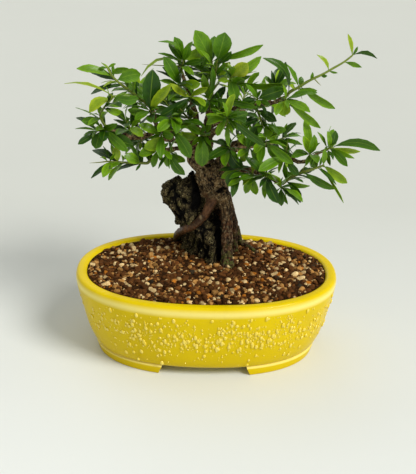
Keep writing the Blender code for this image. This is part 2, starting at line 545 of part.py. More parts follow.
def make_pot(group, cutters):
    """The glazed pot with its two feet and its drain holes."""
    outside = [oval(inset, height) for inset, height in POT_OUTSIDE]
    underside = [oval(inset, height) for inset, height in POT_UNDERSIDE]
    inside = [oval(inset, height) for inset, height in POT_INSIDE]
    rings = list(reversed(underside)) + list(reversed(outside)) + inside
    pot = add_mesh("pot", *loft(rings), group, material("yellow_glaze", (0.80, 0.65, 0.03), 0.18))
    front = POT_WIDTH / 2
    for side in (-1, 1):
        corners = [
            (-FOOT_GAP_BOTTOM, -1.0), (FOOT_GAP_BOTTOM, -1.0), (FOOT_GAP_TOP, FOOT_HEIGHT),
            (-FOOT_GAP_TOP, FOOT_HEIGHT)]
        near, far = sorted((side * front * 0.2, side * front * 1.2))
        ring_near = [Vector((x, near, z)) for x, z in corners]
        ring_far = [Vector((x, far, z)) for x, z in corners]
        gap = add_mesh("foot_gap", *loft([ring_far, ring_near]), cutters)
        boolean(pot, gap, "DIFFERENCE")
    for side in (-1, 1):
        bpy.ops.mesh.primitive_cylinder_add(
            vertices=16, radius=DRAIN_RADIUS * MM, depth=3 * FLOOR_TOP * MM,
            location=(side * DRAIN_X * MM, 0.0, FLOOR_TOP / 2 * MM))
        drain = bpy.context.object
        drain.name = "drain_hole"
        for owner in list(drain.users_collection):
            owner.objects.unlink(drain)
        cutters.objects.link(drain)
        boolean(pot, drain, "DIFFERENCE")
    tidy_mesh(pot)
    return pot


def make_drain_mesh(name, centre_x, group, finish):
    """A square of plastic mesh that keeps the soil out of a drain hole: two layers of crossing bars."""
    bars = new_collection(name + "_bars")
    pitch = (MESH_SIDE - MESH_BAR) / MESH_HOLES
    middle = FLOOR_TOP + CLEARANCE + MESH_THICKNESS / 2
    for turned in (False, True):
        for bar in range(MESH_HOLES + 1):
            offset = -MESH_SIDE / 2 + MESH_BAR / 2 + bar * pitch
            size = (MESH_SIDE, MESH_BAR, MESH_THICKNESS)
            place = (centre_x, offset, middle)
            if turned:
                size = (MESH_BAR, MESH_SIDE, MESH_THICKNESS)
                place = (centre_x + offset, 0.0, middle)
            bpy.ops.mesh.primitive_cube_add(size=1.0)
            piece = bpy.context.object
            piece.data.transform(Matrix.Diagonal((*size, 1.0)))
            piece.data.transform(Matrix.Translation(place))
            piece.data.transform(Matrix.Scale(MM, 4))
            for owner in list(piece.users_collection):
                owner.objects.unlink(piece)
            bars.objects.link(piece)
    first = bars.objects[0]
    bars.objects.unlink(first)
    group.objects.link(first)
    first.name = name
    first.data.name = name
    first.data.materials.append(finish)
    boolean(first, bars, "UNION")
    empty_collection(bars)
    tidy_mesh(first, merge_flat=True)
    return first


def rock_rings(levels, sides, grow):
    """Craggy rings up the rock, each pushed in and out by the same seeded ridges, grown by a clearance."""
    draw = random.Random(SEED)
    ridges = [draw.uniform(-1, 1) for side in range(sides)]
    rings = []
    for level, (centre_x, centre_y, half_width, half_depth, height) in enumerate(levels):
        chips = [draw.uniform(-1, 1) for side in range(sides)]
        lift = [draw.uniform(-1, 1) for side in range(sides)]
        low, high = SLANT_FADES
        slant = ROCK_SLANT * max(0.0, min(1.0, (high - height) / (high - low)))
        ring = []
        for side in range(sides):
            angle = 2 * math.pi * side / sides
            rough = 1 + ROCK_ROUGHNESS * (0.6 * ridges[side] + 0.4 * chips[side])
            x = centre_x + (half_width * rough + grow) * math.cos(angle)
            y = centre_y + (half_depth * rough + grow) * math.sin(angle)
            z = height
            if level > 0:
                z += lift[side] * ROCK_CHIP
            if height > TILT_FROM:
                z -= ROCK_TILT * (x - centre_x)
            ring.append(Vector((x + slant * (y - centre_y), y, z)))
        rings.append(ring)
    for below, above in zip(rings[0], rings[-1]):
        below.z -= grow
        above.z += grow
    return rings


def rock_parts(grow):
    """The skins of the rock's body and of the spur beside the trunk."""
    body = loft(rock_rings(ROCK_LEVELS, ROCK_SIDES, grow), split=True)
    spur = loft(rock_rings(ROCK_SPUR, SPUR_SIDES, grow), split=True)
    return body, spur


def wood(points):
    """The places and radii of a limb or a root."""
    places = [seen(across, up, depth) for across, up, depth, radius in points]
    radii = [radius for across, up, depth, radius in points]
    return places, radii


def point_along(places, radii, share):
    """The place, the direction and the radius at a share of a line's length."""
    lengths = [(b - a).length for a, b in zip(places, places[1:])]
    left = share * sum(lengths)
    for index, length in enumerate(lengths):
        if left <= length or index == len(lengths) - 1:
            part = min(1.0, left / length)
            place = places[index].lerp(places[index + 1], part)
            radius = radii[index] + (radii[index + 1] - radii[index]) * part
            return place, (places[index + 1] - places[index]).normalized(), radius
        left -= length


def spray_layout(spray):
    """Where the stub on the limb runs, and the places and radii of the twig that starts beyond it."""
    places, radii = wood(LIMBS[spray.limb])
    root, along, thickness = point_along(places, radii, spray.at)
    twig = [seen(*point) for point in spray.twig]
    heading = (twig[0] - root).normalized()
    if spray.at == 1.0:
        stub = None
        start = root + along * CLEARANCE
        foot_radius = thickness
        line = [start, start + along * STUB_LENGTH] + twig
    else:
        sine = max(0.3, heading.cross(along).length)
        cosine = abs(heading.dot(along))
        reach = (thickness + TWIG_FOOT_RADIUS * cosine) / sine + STUB_LENGTH
        end = root + heading * reach
        stub = [root, end]
        start = end + heading * CLEARANCE
        foot_radius = TWIG_FOOT_RADIUS
        if (twig[0] - root).length < reach + STUB_LENGTH:
            twig[0] = root + heading * (reach + STUB_LENGTH)
        line = [start] + twig
    share = [index / (len(line) - 1) for index in range(len(line))]
    widths = [foot_radius + (TWIG_TIP_RADIUS - foot_radius) * part for part in share]
    return stub, line, widths


def make_wood(name, group, grow=0.0, finish=None):
    """The trunk, limbs, stubs and roots as one grown body, or the same grown by a clearance for a cutter."""
    pieces = new_collection(name + "_pieces")
    for label, points in list(LIMBS.items()) + list(ROOTS.items()):
        places, radii = wood(points)
        places[0] -= (places[1] - places[0]).normalized() * grow
        places[-1] += (places[-1] - places[-2]).normalized() * grow
        tube(label, places, [radius + grow for radius in radii], pieces, ROUNDNESS.get(label, 0))
    for label, spray in SPRAYS.items():
        stub, line, widths = spray_layout(spray)
        if stub:
            tube(label, stub, [widths[0] + grow] * 2, pieces, 0)
    first = pieces.objects["bole"]
    pieces.objects.unlink(first)
    group.objects.link(first)
    first.name = name
    first.data.name = name
    if finish:
        first.data.materials.append(finish)
    boolean(first, pieces, "UNION")
    empty_collection(pieces)
    tidy_mesh(first)
    return first


Blade = namedtuple("Blade", "foot tip normal width bow arch")


def blade_rows(blade, outline, grow=0.0):
    """Left, middle and right points of a blade at each station of its outline, and the normals there."""
    run = blade.tip - blade.foot
    heading = run.normalized()
    side = blade.normal.cross(heading)
    rows = []
    for share, breadth in outline:
        swell = 4 * share * (1 - share)
        middle = blade.foot + run * share + blade.bow * swell
        middle = middle + blade.normal * (blade.arch * run.length * swell)
        half = breadth * blade.width / 2 + grow
        keel = BLADE_KEEL if blade.width >= BROAD_WIDTH else 0.0
        lift = blade.normal * (keel * breadth * blade.width)
        rows.append((middle + side * half + lift, middle, middle - side * half + lift))
    return rows


def blade_shell(blade, outline, first=0):
    """A closed skin that stands a safe gap off the blade, from one of its stations to its tip."""
    rows = blade_rows(blade, outline, SAFE_GAP)[first:]
    thick = blade.normal * (BLADE_THICKNESS / 2 + SAFE_GAP)
    points = []
    for row in rows:
        points += [point + thick for point in row] + [point - thick for point in reversed(row)]
    faces = []
    for row in range(len(rows) - 1):
        for side in range(6):
            after = (side + 1) % 6
            low = row * 6
            faces.append((low + side, low + after, low + 6 + after))
            faces.append((low + side, low + 6 + after, low + 6 + side))
    return BVHTree.FromPolygons(points, faces)


def tube_shell(places, radii):
    """A closed skin that stands a safe gap off a tube."""
    points = []
    for index, place in enumerate(places):
        before = places[max(0, index - 1)]
        after = places[min(len(places) - 1, index + 1)]
        heading = (after - before).normalized()
        side = heading.cross(Vector((0.3, 0.2, 1.0))).normalized()
        other = heading.cross(side)
        radius = radii[index] + SAFE_GAP
        for step in range(6):
            angle = math.pi * step / 3
            points.append(place + side * (radius * math.cos(angle)) + other * (radius * math.sin(angle)))
    faces = []
    for index in range(len(places) - 1):
        low = index * 6
        for step in range(6):
            after = (step + 1) % 6
            faces.append((low + step, low + after, low + 6 + after))
            faces.append((low + step, low + 6 + after, low + 6 + step))
    return BVHTree.FromPolygons(points, faces)


class Thicket:
    """Everything that leaves may not cross, and what has been placed so far."""

    def __init__(self):
        self.solids = []

    def add(self, owner, ends, whole, outer=None):
        low = [min(point[axis] for point in ends) for axis in range(3)]
        high = [max(point[axis] for point in ends) for axis in range(3)]
        middle = (Vector(low) + Vector(high)) / 2
        reach = (Vector(high) - Vector(low)).length / 2
        self.solids.append((owner, middle, reach, whole, outer))

    def is_clear(self, owner, ends, whole, outer):
        middle = (ends[0] + ends[1]) / 2
        reach = (ends[0] - ends[1]).length / 2
        for other, centre, size, skin, far_skin in self.solids:
            if (centre - middle).length > size + reach + 14.0:
                continue
            if other != owner:
                if whole.overlap(skin):
                    return False
            elif far_skin and outer.overlap(far_skin):
                return False
        return True


def blade_outline(width):
    return BROAD_OUTLINE if width >= BROAD_WIDTH else SLENDER_OUTLINE


def aimed_blade(foot, leaf, shift, extra_turn):
    """A leaf as it reads from the front, its tip moved along the line of sight and its blade turned."""
    tip = seen(leaf.across, leaf.up, foot.y + leaf.step + shift)
    heading = (tip - foot).normalized()
    sight = (EYE - foot).normalized()
    facing = (sight - heading * sight.dot(heading)).normalized()
    left = facing.cross(heading)
    turn = Matrix.Rotation(math.radians(leaf.turn + extra_turn), 3, heading)
    normal = turn @ facing
    return Blade(foot, tip, normal, leaf.width, left * leaf.bow, BLADE_ARCH)


def free_blade(foot, along, draw):
    """A small leaf that leans away from its twig and holds its face up to the light."""
    around = draw.uniform(0, 2 * math.pi)
    across = along.cross(Vector((0.1, 0.2, 1.0))).normalized()
    other = along.cross(across)
    radial = across * math.cos(around) + other * math.sin(around)
    lean = math.radians(draw.uniform(35, 75))
    heading = along * math.cos(lean) + radial * math.sin(lean)
    heading = (heading + Vector((0, 0, draw.uniform(-0.15, 0.3)))).normalized()
    length = draw.uniform(*SMALL_LEAF)
    width = length * draw.uniform(*SMALL_LEAF_SLENDERNESS)
    light = Vector((draw.uniform(-0.5, 0.5), draw.uniform(-0.6, 0.4), 1.0))
    normal = (light - heading * light.dot(heading)).normalized()
    return Blade(foot, foot + heading * length, normal, width, Vector(), draw.uniform(0.03, 0.10))


def leaf_foot(line, share):
    """The place on a twig's middle line where a leaf is rooted, well inside the wood at both ends."""
    length = sum((b - a).length for a, b in zip(line, line[1:]))
    margin = ROOT_DEPTH / length
    return point_along(line, [0.0] * len(line), max(margin, min(1 - margin, share)))[0]


def plan_leaves():
    """Every blade of every spray, each one clear of all other nodes."""
    thicket = Thicket()
    for rock_points, rock_faces in rock_parts(SAFE_GAP):
        thicket.add("rock", rock_points, BVHTree.FromPolygons(rock_points, rock_faces))
    for label, points in list(LIMBS.items()) + list(ROOTS.items()):
        places, radii = wood(points)
        for index in range(len(places) - 1):
            pair = places[index:index + 2]
            thicket.add("trunk", pair, tube_shell(pair, radii[index:index + 2]))
    layout = {}
    for label, spray in SPRAYS.items():
        stub, line, widths = spray_layout(spray)
        layout[label] = (line, widths)
        if stub:
            thicket.add("trunk", stub, tube_shell(stub, [widths[0]] * 2))
        for index in range(len(line) - 1):
            pair = line[index:index + 2]
            thicket.add(label, pair, tube_shell(pair, widths[index:index + 2]))
    blades = {label: [] for label in SPRAYS}
    thorns = {label: [] for label in SPRAYS}

    def try_blade(label, blade):
        outline = blade_outline(blade.width)
        whole = blade_shell(blade, outline)
        outer = blade_shell(blade, outline, first=1)
        ends = (blade.foot, blade.tip)
        if not thicket.is_clear(label, ends, whole, outer):
            return False
        thicket.add(label, ends, whole, outer)
        blades[label].append(blade)
        return True

    for label, spray in SPRAYS.items():
        line, widths = layout[label]
        for leaf in spray.leaves:
            foot = leaf_foot(line, leaf.along)
            for shift, extra_turn in SHIFTS:
                if try_blade(label, aimed_blade(foot, leaf, shift, extra_turn)):
                    break
        for share, across, up in spray.thorns:
            foot = leaf_foot(line, share)
            point = seen(across, up, foot.y - 4.0)
            whole = tube_shell([foot, point], [THORN_RADIUS, THORN_POINT])
            if thicket.is_clear(label, (foot, point), whole, whole):
                thicket.add(label, (foot, point), whole)
                thorns[label].append((foot, point))
    draw = random.Random(SEED + 1)
    for label, spray in SPRAYS.items():
        line, widths = layout[label]
        for index in range(spray.extra):
            share = (index + draw.uniform(0.3, 0.9)) / spray.extra
            foot, along, radius = point_along(line, widths, max(0.12, min(0.93, share)))
            for attempt in range(12):
                if try_blade(label, free_blade(foot, along, draw)):
                    break
    return layout, blades, thorns


def make_blade(name, blade, group):
    """One leaf: an open arched blade, given its thickness on both faces."""
    rows = blade_rows(blade, blade_outline(blade.width))
    wide = 3 if blade.width >= BROAD_WIDTH else 2
    points = [rows[0][1]]
    for row in rows[1:-1]:
        points += row if wide == 3 else (row[0], row[2])
    points.append(rows[-1][1])
    faces = [(0, 1 + step + 1, 1 + step) for step in range(wide - 1)]
    for index in range(len(rows) - 3):
        for step in range(wide - 1):
            low = 1 + index * wide + step
            faces += [(low, low + 1, low + wide), (low + 1, low + wide + 1, low + wide)]
    last = len(points) - 1
    faces += [(last - wide + step, last - wide + step + 1, last) for step in range(wide - 1)]
    leaf = add_mesh(name, points, faces, group)
    thickness = leaf.modifiers.new("Thickness", "SOLIDIFY")
    thickness.thickness = BLADE_THICKNESS * MM
    thickness.offset = 0.0
    bpy.context.view_layer.update()
    return evaluated_copy(leaf, name, group)


def make_spray(name, line, widths, blades, thorns, group, finish):
    """A leafy twig: its stem, its thorns and its leaves joined in one body."""
    stem = tube(name, line, widths, group, 0)
    stem.data.name = name
    stem.data.materials.append(finish)
    parts = new_collection(name + "_parts")
    for index, blade in enumerate(blades):
        make_blade("leaf_%d" % index, blade, parts)
    for index, (foot, point) in enumerate(thorns):
        tube("thorn_%d" % index, [foot, point], [THORN_RADIUS, THORN_POINT], parts, 0)
    boolean(stem, parts, "UNION")
    empty_collection(parts)
    tidy_mesh(stem)
    return stem


def soil_height(x, y):
    """The soil's surface: level at the rim, with a low crown round the tree."""
    out = (x / (POT_LENGTH / 2)) ** 2 + (y / (POT_WIDTH / 2)) ** 2
    return SOIL_EDGE + SOIL_CROWN * max(0.0, 1 - out)


def make_soil(group, cutters, trunk_cutter):
    """The soil: a filling with a surface of raised grains, with plain holes where wood and rock go in."""
    draw = random.Random(SEED + 2)
    edge = oval(POT_INSIDE[0][0] + 2 * CLEARANCE, SOIL_EDGE)
    flat = [Vector((point.x, point.y)) for point in edge]
    count = len(flat)
    rim = [(index, (index + 1) % count) for index in range(count)]
    lattice = []
    row = 0
    half_length = POT_LENGTH / 2 - POT_INSIDE[1][0] - GRAIN_PITCH * 0.6
    half_width = POT_WIDTH / 2 - POT_INSIDE[1][0] - GRAIN_PITCH * 0.6
    y = -half_width
    while y < half_width:
        x = -half_length + (row % 2) * GRAIN_PITCH / 2
        while x < half_length:
            if (x / half_length) ** 2 + (y / half_width) ** 2 < 1:
                lattice.append(Vector((x + draw.uniform(-1, 1), y + draw.uniform(-1, 1))))
            x += GRAIN_PITCH
        y += GRAIN_PITCH * math.sqrt(3) / 2
        row += 1
    spots, edges, faces, *rest = delaunay_2d_cdt(flat + lattice, rim, [], 1, 0.0001)
    points = []
    for index, spot in enumerate(spots):
        height = soil_height(spot.x, spot.y)
        if index >= count:
            height += draw.choice((-1, -0.4, 0.5, 1)) * GRAIN_RELIEF
        points.append(Vector((spot.x, spot.y, height)))
    below = [(inset + CLEARANCE, height) for inset, height in POT_INSIDE[2:]]
    below[-1] = (below[-1][0], FLOOR_TOP + CLEARANCE)
    first = len(points)
    for inset, height in below:
        points += oval(inset, height)
    skin = [tuple(face) for face in faces]
    levels = [0] + [first + level * count for level in range(len(below))]
    for high, low in zip(levels, levels[1:]):
        for side in range(count):
            after = (side + 1) % count
            skin.append((high + after, high + side, low + side, low + after))
    skin.append(tuple(reversed(range(levels[-1], levels[-1] + count))))
    soil = add_mesh("soil", points, skin, group, material("grit", (0.16, 0.085, 0.05), 0.9))
    rock_cutter = add_mesh("rock_cutter", *rock_parts(CLEARANCE + 0.1)[0], cutters)
    boolean(soil, rock_cutter, "DIFFERENCE")
    boolean(soil, trunk_cutter, "DIFFERENCE")
    for side in (-1, 1):
        bpy.ops.mesh.primitive_cube_add(size=1.0)
        pocket = bpy.context.object
        pocket.name = "mesh_pocket"
        width = MESH_SIDE + 2 * CLEARANCE
        pocket.data.transform(Matrix.Diagonal((width, width, 2 * (MESH_THICKNESS + 2 * CLEARANCE), 1.0)))
        pocket.data.transform(Matrix.Translation((side * DRAIN_X, 0.0, FLOOR_TOP)))
        pocket.data.transform(Matrix.Scale(MM, 4))
        for owner in list(pocket.users_collection):
            owner.objects.unlink(pocket)
        cutters.objects.link(pocket)
        boolean(soil, pocket, "DIFFERENCE")
    tidy_mesh(soil)
    return soil


def make_rock(group, trunk_cutter):
    """The rock, grooved where the roots grip it."""
    body, spur = rock_parts(0.0)
    stone = material("stone", (0.13, 0.12, 0.095), 0.92)
    rock = add_mesh("rock", *body, group, stone)
    peak = add_mesh("rock_spur", *spur, group)
    boolean(rock, peak, "UNION")
    bpy.data.objects.remove(peak, do_unlink=True)
    boolean(rock, trunk_cutter, "DIFFERENCE")
    tidy_mesh(rock)
    return rock


def centre_on_footprint(group):
    """Moves the whole object so that the middle of the floor it covers is the origin."""
    low = Vector((1e9, 1e9, 1e9))
    high = -low
    for thing in group.objects:
        for vert in thing.data.vertices:
            for axis in range(3):
                low[axis] = min(low[axis], vert.co[axis])
                high[axis] = max(high[axis], vert.co[axis])
    middle = (low + high) / 2
    for thing in group.objects:
        thing.data.transform(Matrix.Translation((-middle.x, -middle.y, -low.z)))


def hide_cutters(cutters):
    for thing in cutters.objects:
        thing.hide_render = True
        thing.display_type = "WIRE"


def main():
    clear_scene()
    tree = new_collection("firethorn_bonsai")
    cutters = new_collection("cutters")
    make_pot(tree, cutters)
    plastic = material("black_plastic", (0.02, 0.02, 0.02), 0.6)
    make_drain_mesh("drain_mesh_left", -DRAIN_X, tree, plastic)
    make_drain_mesh("drain_mesh_right", DRAIN_X, tree, plastic)
    trunk_cutter = make_wood("trunk_cutter", cutters, CLEARANCE + 0.1)
    make_wood("trunk", tree, 0.0, material("bark", (0.17, 0.115, 0.08), 0.9))
    make_rock(tree, trunk_cutter)
    make_soil(tree, cutters, trunk_cutter)
    leaf_green = material("leaf", (0.10, 0.24, 0.03), 0.4)
    layout, blades, thorns = plan_leaves()
    for label, (line, widths) in layout.items():
        make_spray("spray_" + label, line, widths, blades[label], thorns[label], tree, leaf_green)
    centre_on_footprint(tree)
    hide_cutters(cutters)


main()
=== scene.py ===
"""Dresses the firethorn bonsai: glazed pot, coarse soil, rock, rooted trunk, leafy sprays and the stage."""

import math
import random
from collections import namedtuple

import bpy
import numpy
from mathutils import Matrix, Vector, noise
from mathutils.bvhtree import BVHTree
from mathutils.kdtree import KDTree


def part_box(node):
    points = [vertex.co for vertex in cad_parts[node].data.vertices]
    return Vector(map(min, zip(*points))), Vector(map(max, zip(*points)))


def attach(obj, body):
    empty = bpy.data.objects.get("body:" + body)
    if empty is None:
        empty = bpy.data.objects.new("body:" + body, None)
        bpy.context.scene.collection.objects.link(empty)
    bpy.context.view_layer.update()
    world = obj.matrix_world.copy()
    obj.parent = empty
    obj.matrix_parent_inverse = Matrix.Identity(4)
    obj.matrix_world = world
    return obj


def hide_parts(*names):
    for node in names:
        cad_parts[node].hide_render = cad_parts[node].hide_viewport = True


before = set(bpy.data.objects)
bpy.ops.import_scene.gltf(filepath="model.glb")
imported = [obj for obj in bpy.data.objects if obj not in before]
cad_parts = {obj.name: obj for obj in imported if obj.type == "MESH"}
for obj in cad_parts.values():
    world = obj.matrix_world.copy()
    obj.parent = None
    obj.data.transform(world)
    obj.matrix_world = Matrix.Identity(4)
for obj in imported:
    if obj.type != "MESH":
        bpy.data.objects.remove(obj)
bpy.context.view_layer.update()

bl_info = {
    "name": "Firethorn Bonsai",
    "version": (1, 0, 0),
    "blender": (4, 5, 0),
    "location": "3D View > Sidebar > Bonsai",
    "description": "Dresses a potted firethorn bonsai with its glaze, grit, rock, bark and leaves",
    "category": "Object",
}

MM = 0.001

# Where the middle of the pot stands in the frame, in millimetres
POT_LOW, POT_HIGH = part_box("pot")
SHIFT = Vector(((POT_LOW.x + POT_HIGH.x) / 2, (POT_LOW.y + POT_HIGH.y) / 2, 0.0)) / MM

# The pot: a squarish oval, upright at the rim and drawn in a little more at its ends than at its front
POT_LENGTH = 250.0
POT_WIDTH = 171.4
POT_HEIGHT = 79.6
POT_SQUARENESS = 2.25
FOOT_HEIGHT = 8.9
FLOOR_TOP = 17.0
FOOT_GAP_TOP = 39.5
FOOT_GAP_BOTTOM = 43.5
DRAIN_X = 45.0
DRAIN_RADIUS = 8.0

# The pot's section from under its floor, up the outside, over the lip and down inside: distance in from the
# rim's outer oval, then height
POT_SECTION = [
    (26.5, FOOT_HEIGHT), (25.9, 0.9), (25.2, 0.0), (16.6, 0.0), (15.8, 0.5), (14.8, 7.0), (15.1, 8.0),
    (15.9, 8.4), (17.0, 8.9), (17.1, 9.3), (15.9, 9.9), (14.5, 11.6), (12.7, 17.0), (11.1, 23.0), (9.7, 29.0),
    (8.2, 35.0), (6.9, 41.0), (5.7, 46.0), (4.6, 50.5), (3.5, 55.0), (2.4, 59.5), (1.5, 63.5), (0.8, 67.0),
    (0.3, 70.5), (0.0, 73.5), (0.05, 75.5), (0.35, 77.0), (1.0, 78.3), (2.0, 79.2), (3.2, POT_HEIGHT),
    (7.4, POT_HEIGHT), (8.8, 79.2), (9.9, 78.3), (10.5, 77.2), (10.8, 75.8), (11.2, 70.0), (13.4, 50.0),
    (16.5, 30.0), (19.0, 22.0), (25.5, FLOOR_TOP),
]
POT_SECTION_INSIDE = 10.9
POT_FINENESS = 160
END_DRAW = 4.5
END_DRAW_FROM = 26.0

# The soil
CLEARANCE = 0.3
SOIL_EDGE = 76.8
SOIL_CROWN = 3.6
ROW_STEP = 0.866

# The rock: centre x, centre y, half width, half depth and height of each level
ROCK_LEVELS = [
    (-1.0, 36.0, 15.0, 25.0, 52.0), (-1.0, 36.0, 19.0, 31.0, 68.0), (-1.0, 36.0, 21.0, 34.0, 84.0),
    (-1.0, 36.0, 20.0, 31.0, 97.0), (-4.0, 35.5, 20.0, 28.0, 106.0), (-9.5, 34.0, 22.0, 25.0, 114.0),
    (-13.0, 33.0, 21.5, 23.0, 121.0), (-16.5, 33.0, 21.5, 21.0, 129.0), (-21.0, 33.0, 23.5, 19.0, 138.0),
    (-21.5, 32.0, 23.0, 18.0, 146.0), (-20.5, 31.5, 19.0, 15.0, 152.5), (-23.0, 31.0, 14.0, 11.0, 157.0),
]
ROCK_SPUR = [
    (-14.0, 31.0, 7.0, 8.0, 144.0), (-14.5, 31.0, 5.0, 6.0, 155.0), (-15.0, 31.0, 4.0, 4.5, 161.0),
    (-15.3, 31.0, 2.0, 2.2, 166.0),
]
ROCK_SIDES = 15
SPUR_SIDES = 7
ROCK_ROUGHNESS = 0.14
ROCK_CHIP = 1.6

# How far the rock's foot slants sideways for each step back, and the height over which the slant fades
ROCK_SLANT = -0.45
SLANT_FADES = (98.0, 118.0)

# How far the rock's top falls to the right for each step across
ROCK_TILT = 0.12
TILT_FROM = 150.0

# The point in front of the pot that the tree is composed for
EYE = Vector((0.9, -913.5, 518.4))

# Every limb and root: how far across and up it reads from the front, its depth behind the pot's middle
# plane, and its radius there, in millimetres
LIMBS = {
    "bole": [(8, 146, 29, 11), (7, 156, 29, 13.5), (5, 168, 29, 15), (4, 178, 28, 15.5), (3, 187, 28, 11)],
    "left": [(-2, 179, 27, 10), (-11, 186, 25, 6.8), (-16, 194, 22, 5.2), (-15, 204, 22, 4.4),
             (-13.5, 214, 24, 3.8), (-12, 227, 28, 3.4), (-15, 240, 28, 2.9), (-18, 250, 27, 2.5),
             (-22, 261, 25, 2.1), (-25.5, 271, 22, 1.8)],
    "leader": [(0, 180, 29, 10), (-4, 194, 31, 6.6), (-1, 205, 32, 5.4), (-1.5, 218, 32, 4.9),
               (0, 232, 32, 4.1), (0, 246, 31, 3.2), (1, 259, 29, 2.4)],
    "right": [(11, 178, 27, 10), (13, 190, 26, 6.4), (13.5, 200, 25, 4.8), (22, 205, 22, 3.4),
              (32, 207, 17, 2.9), (46, 207, 10, 2.6), (60, 202, 4, 2.4), (74, 194, 0, 2.2),
              (82, 189.5, -2, 2.0), (90, 190.5, -4, 1.9), (99, 197, -6, 1.7), (106, 201, -8, 1.5)],
    "left_main": [(-15, 205, 22, 3.8), (-24, 211, 18, 3.4), (-35, 216, 13, 3.1), (-46, 217.5, 9, 2.9),
                  (-58, 211.5, 5, 2.6), (-70, 209.5, 2, 2.3), (-82, 214, -2, 2.0), (-92, 216, -4, 1.7)],
    "low_right": [(14, 176, 25, 8), (24, 182, 18, 4.6), (37, 180.5, 10, 3.3), (50, 177.5, 4, 2.8),
                  (60, 172.5, 0, 2.4), (67, 169, -3, 2.0)],
    "high_right": [(-0.5, 228, 32, 3.6), (14, 236, 28, 3.0), (30, 241, 22, 2.6), (47, 243, 14, 2.3),
                   (60, 246.5, 8, 2.0), (66, 250, 6, 1.7)],
    "low_left": [(-15.5, 199, 22, 3.6), (-26, 200, 14, 2.5), (-37, 198.5, 8, 2.2), (-46, 195.5, 3, 2.0),
                 (-51, 189.5, -1, 1.8), (-55, 186.5, -3, 1.6)],
    "high_left": [(-46, 217.5, 9, 2.6), (-49, 226, 12, 2.3), (-51.5, 236, 12, 2.0), (-57, 242, 9, 1.7)],
    "front": [(-1, 212, 32, 4.0), (6, 218, 12, 2.8), (13, 223, -8, 2.2), (16, 226, -24, 1.7)],
    "back_left": [(-2, 214, 34, 4.2), (-18, 222, 54, 2.9), (-38, 232, 74, 2.4), (-52, 240, 86, 1.9)],
    "back_right": [(-1, 222, 34, 4.0), (17, 232, 56, 2.8), (35, 241, 76, 2.3), (48, 247, 88, 1.8)],
    "back_top": [(0, 240, 33, 3.2), (1, 252, 52, 2.4), (-4, 263, 70, 1.9)],
    "back_low_left": [(-12, 203, 26, 4.0), (-30, 207, 46, 2.6), (-52, 210, 62, 1.9)],
    "back_low_right": [(13, 196, 27, 4.4), (34, 203, 46, 2.6), (56, 207, 60, 1.9)],
}
ROOTS = {
    "crossing": [(8, 160, 20, 7), (4.5, 150, 13, 5.2), (-1, 140.5, 10, 4.5), (-7, 132, 10, 4.2),
                 (-13.5, 125.5, 9, 4.0), (-20, 121.5, 14, 4.0), (-25, 117, 34, 4.0), (-28, 112.5, 58, 3.8),
                 (-29.5, 107.5, 66, 3.4), (-29.5, 99, 65, 2.6)],
    "front": [(12, 160, 18, 8), (16, 148, 15, 6.6), (18, 137, 13, 5.8), (18.8, 122, 10, 5.6),
              (19.2, 109, 7, 5.6), (19.6, 95, 4, 5.8), (20, 84, 2, 6.6), (20.5, 66, 1, 5.0)],
    "middle": [(14, 154, 27, 9), (19, 143, 26, 6.2), (22.5, 133, 28, 5.2), (24, 120, 31, 5.0),
               (25, 107, 35, 5.0), (26, 98, 39, 5.2), (27, 82, 41, 3.8)],
    "outer": [(14, 154, 34, 8), (19.5, 142, 38, 6.0), (23, 131, 43, 5.2), (26.3, 121, 49, 4.8),
              (29, 111, 56, 4.8), (31, 105, 60, 4.8), (33, 93, 63, 3.4)],
    "surface": [(29.5, 110, 54, 3.0), (36, 105, 52, 2.5), (42, 101.5, 45, 2.1), (48, 96, 37, 1.6)],
    "back": [(6, 152, 38, 8), (9, 138, 54, 5.2), (12, 124, 62, 4.6), (14, 110, 67, 4.2), (15, 92, 66, 3.2)],
    "back_rock": [(0, 152, 36, 8), (-8, 144, 50, 5.2), (-16, 134, 55, 4.4), (-20, 122, 60, 4.0),
                  (-22, 108, 66, 3.6), (-23, 92, 67, 2.8)],
}

# A leaf: how far along its twig it grows, where its tip reads from the front, how much nearer (negative) or
# further its tip lies than its foot, its width, its turn from facing the front, and how far it bows sideways
Leaf = namedtuple("Leaf", "along across up step width turn bow")

# A spray: the limb it grows from, how far along that limb, its twig, its leaves as the seven values above,
# its thorns as how far along and where the point reads, and how many small leaves fill it
Spray = namedtuple("Spray", "limb at twig leaves thorns extra")

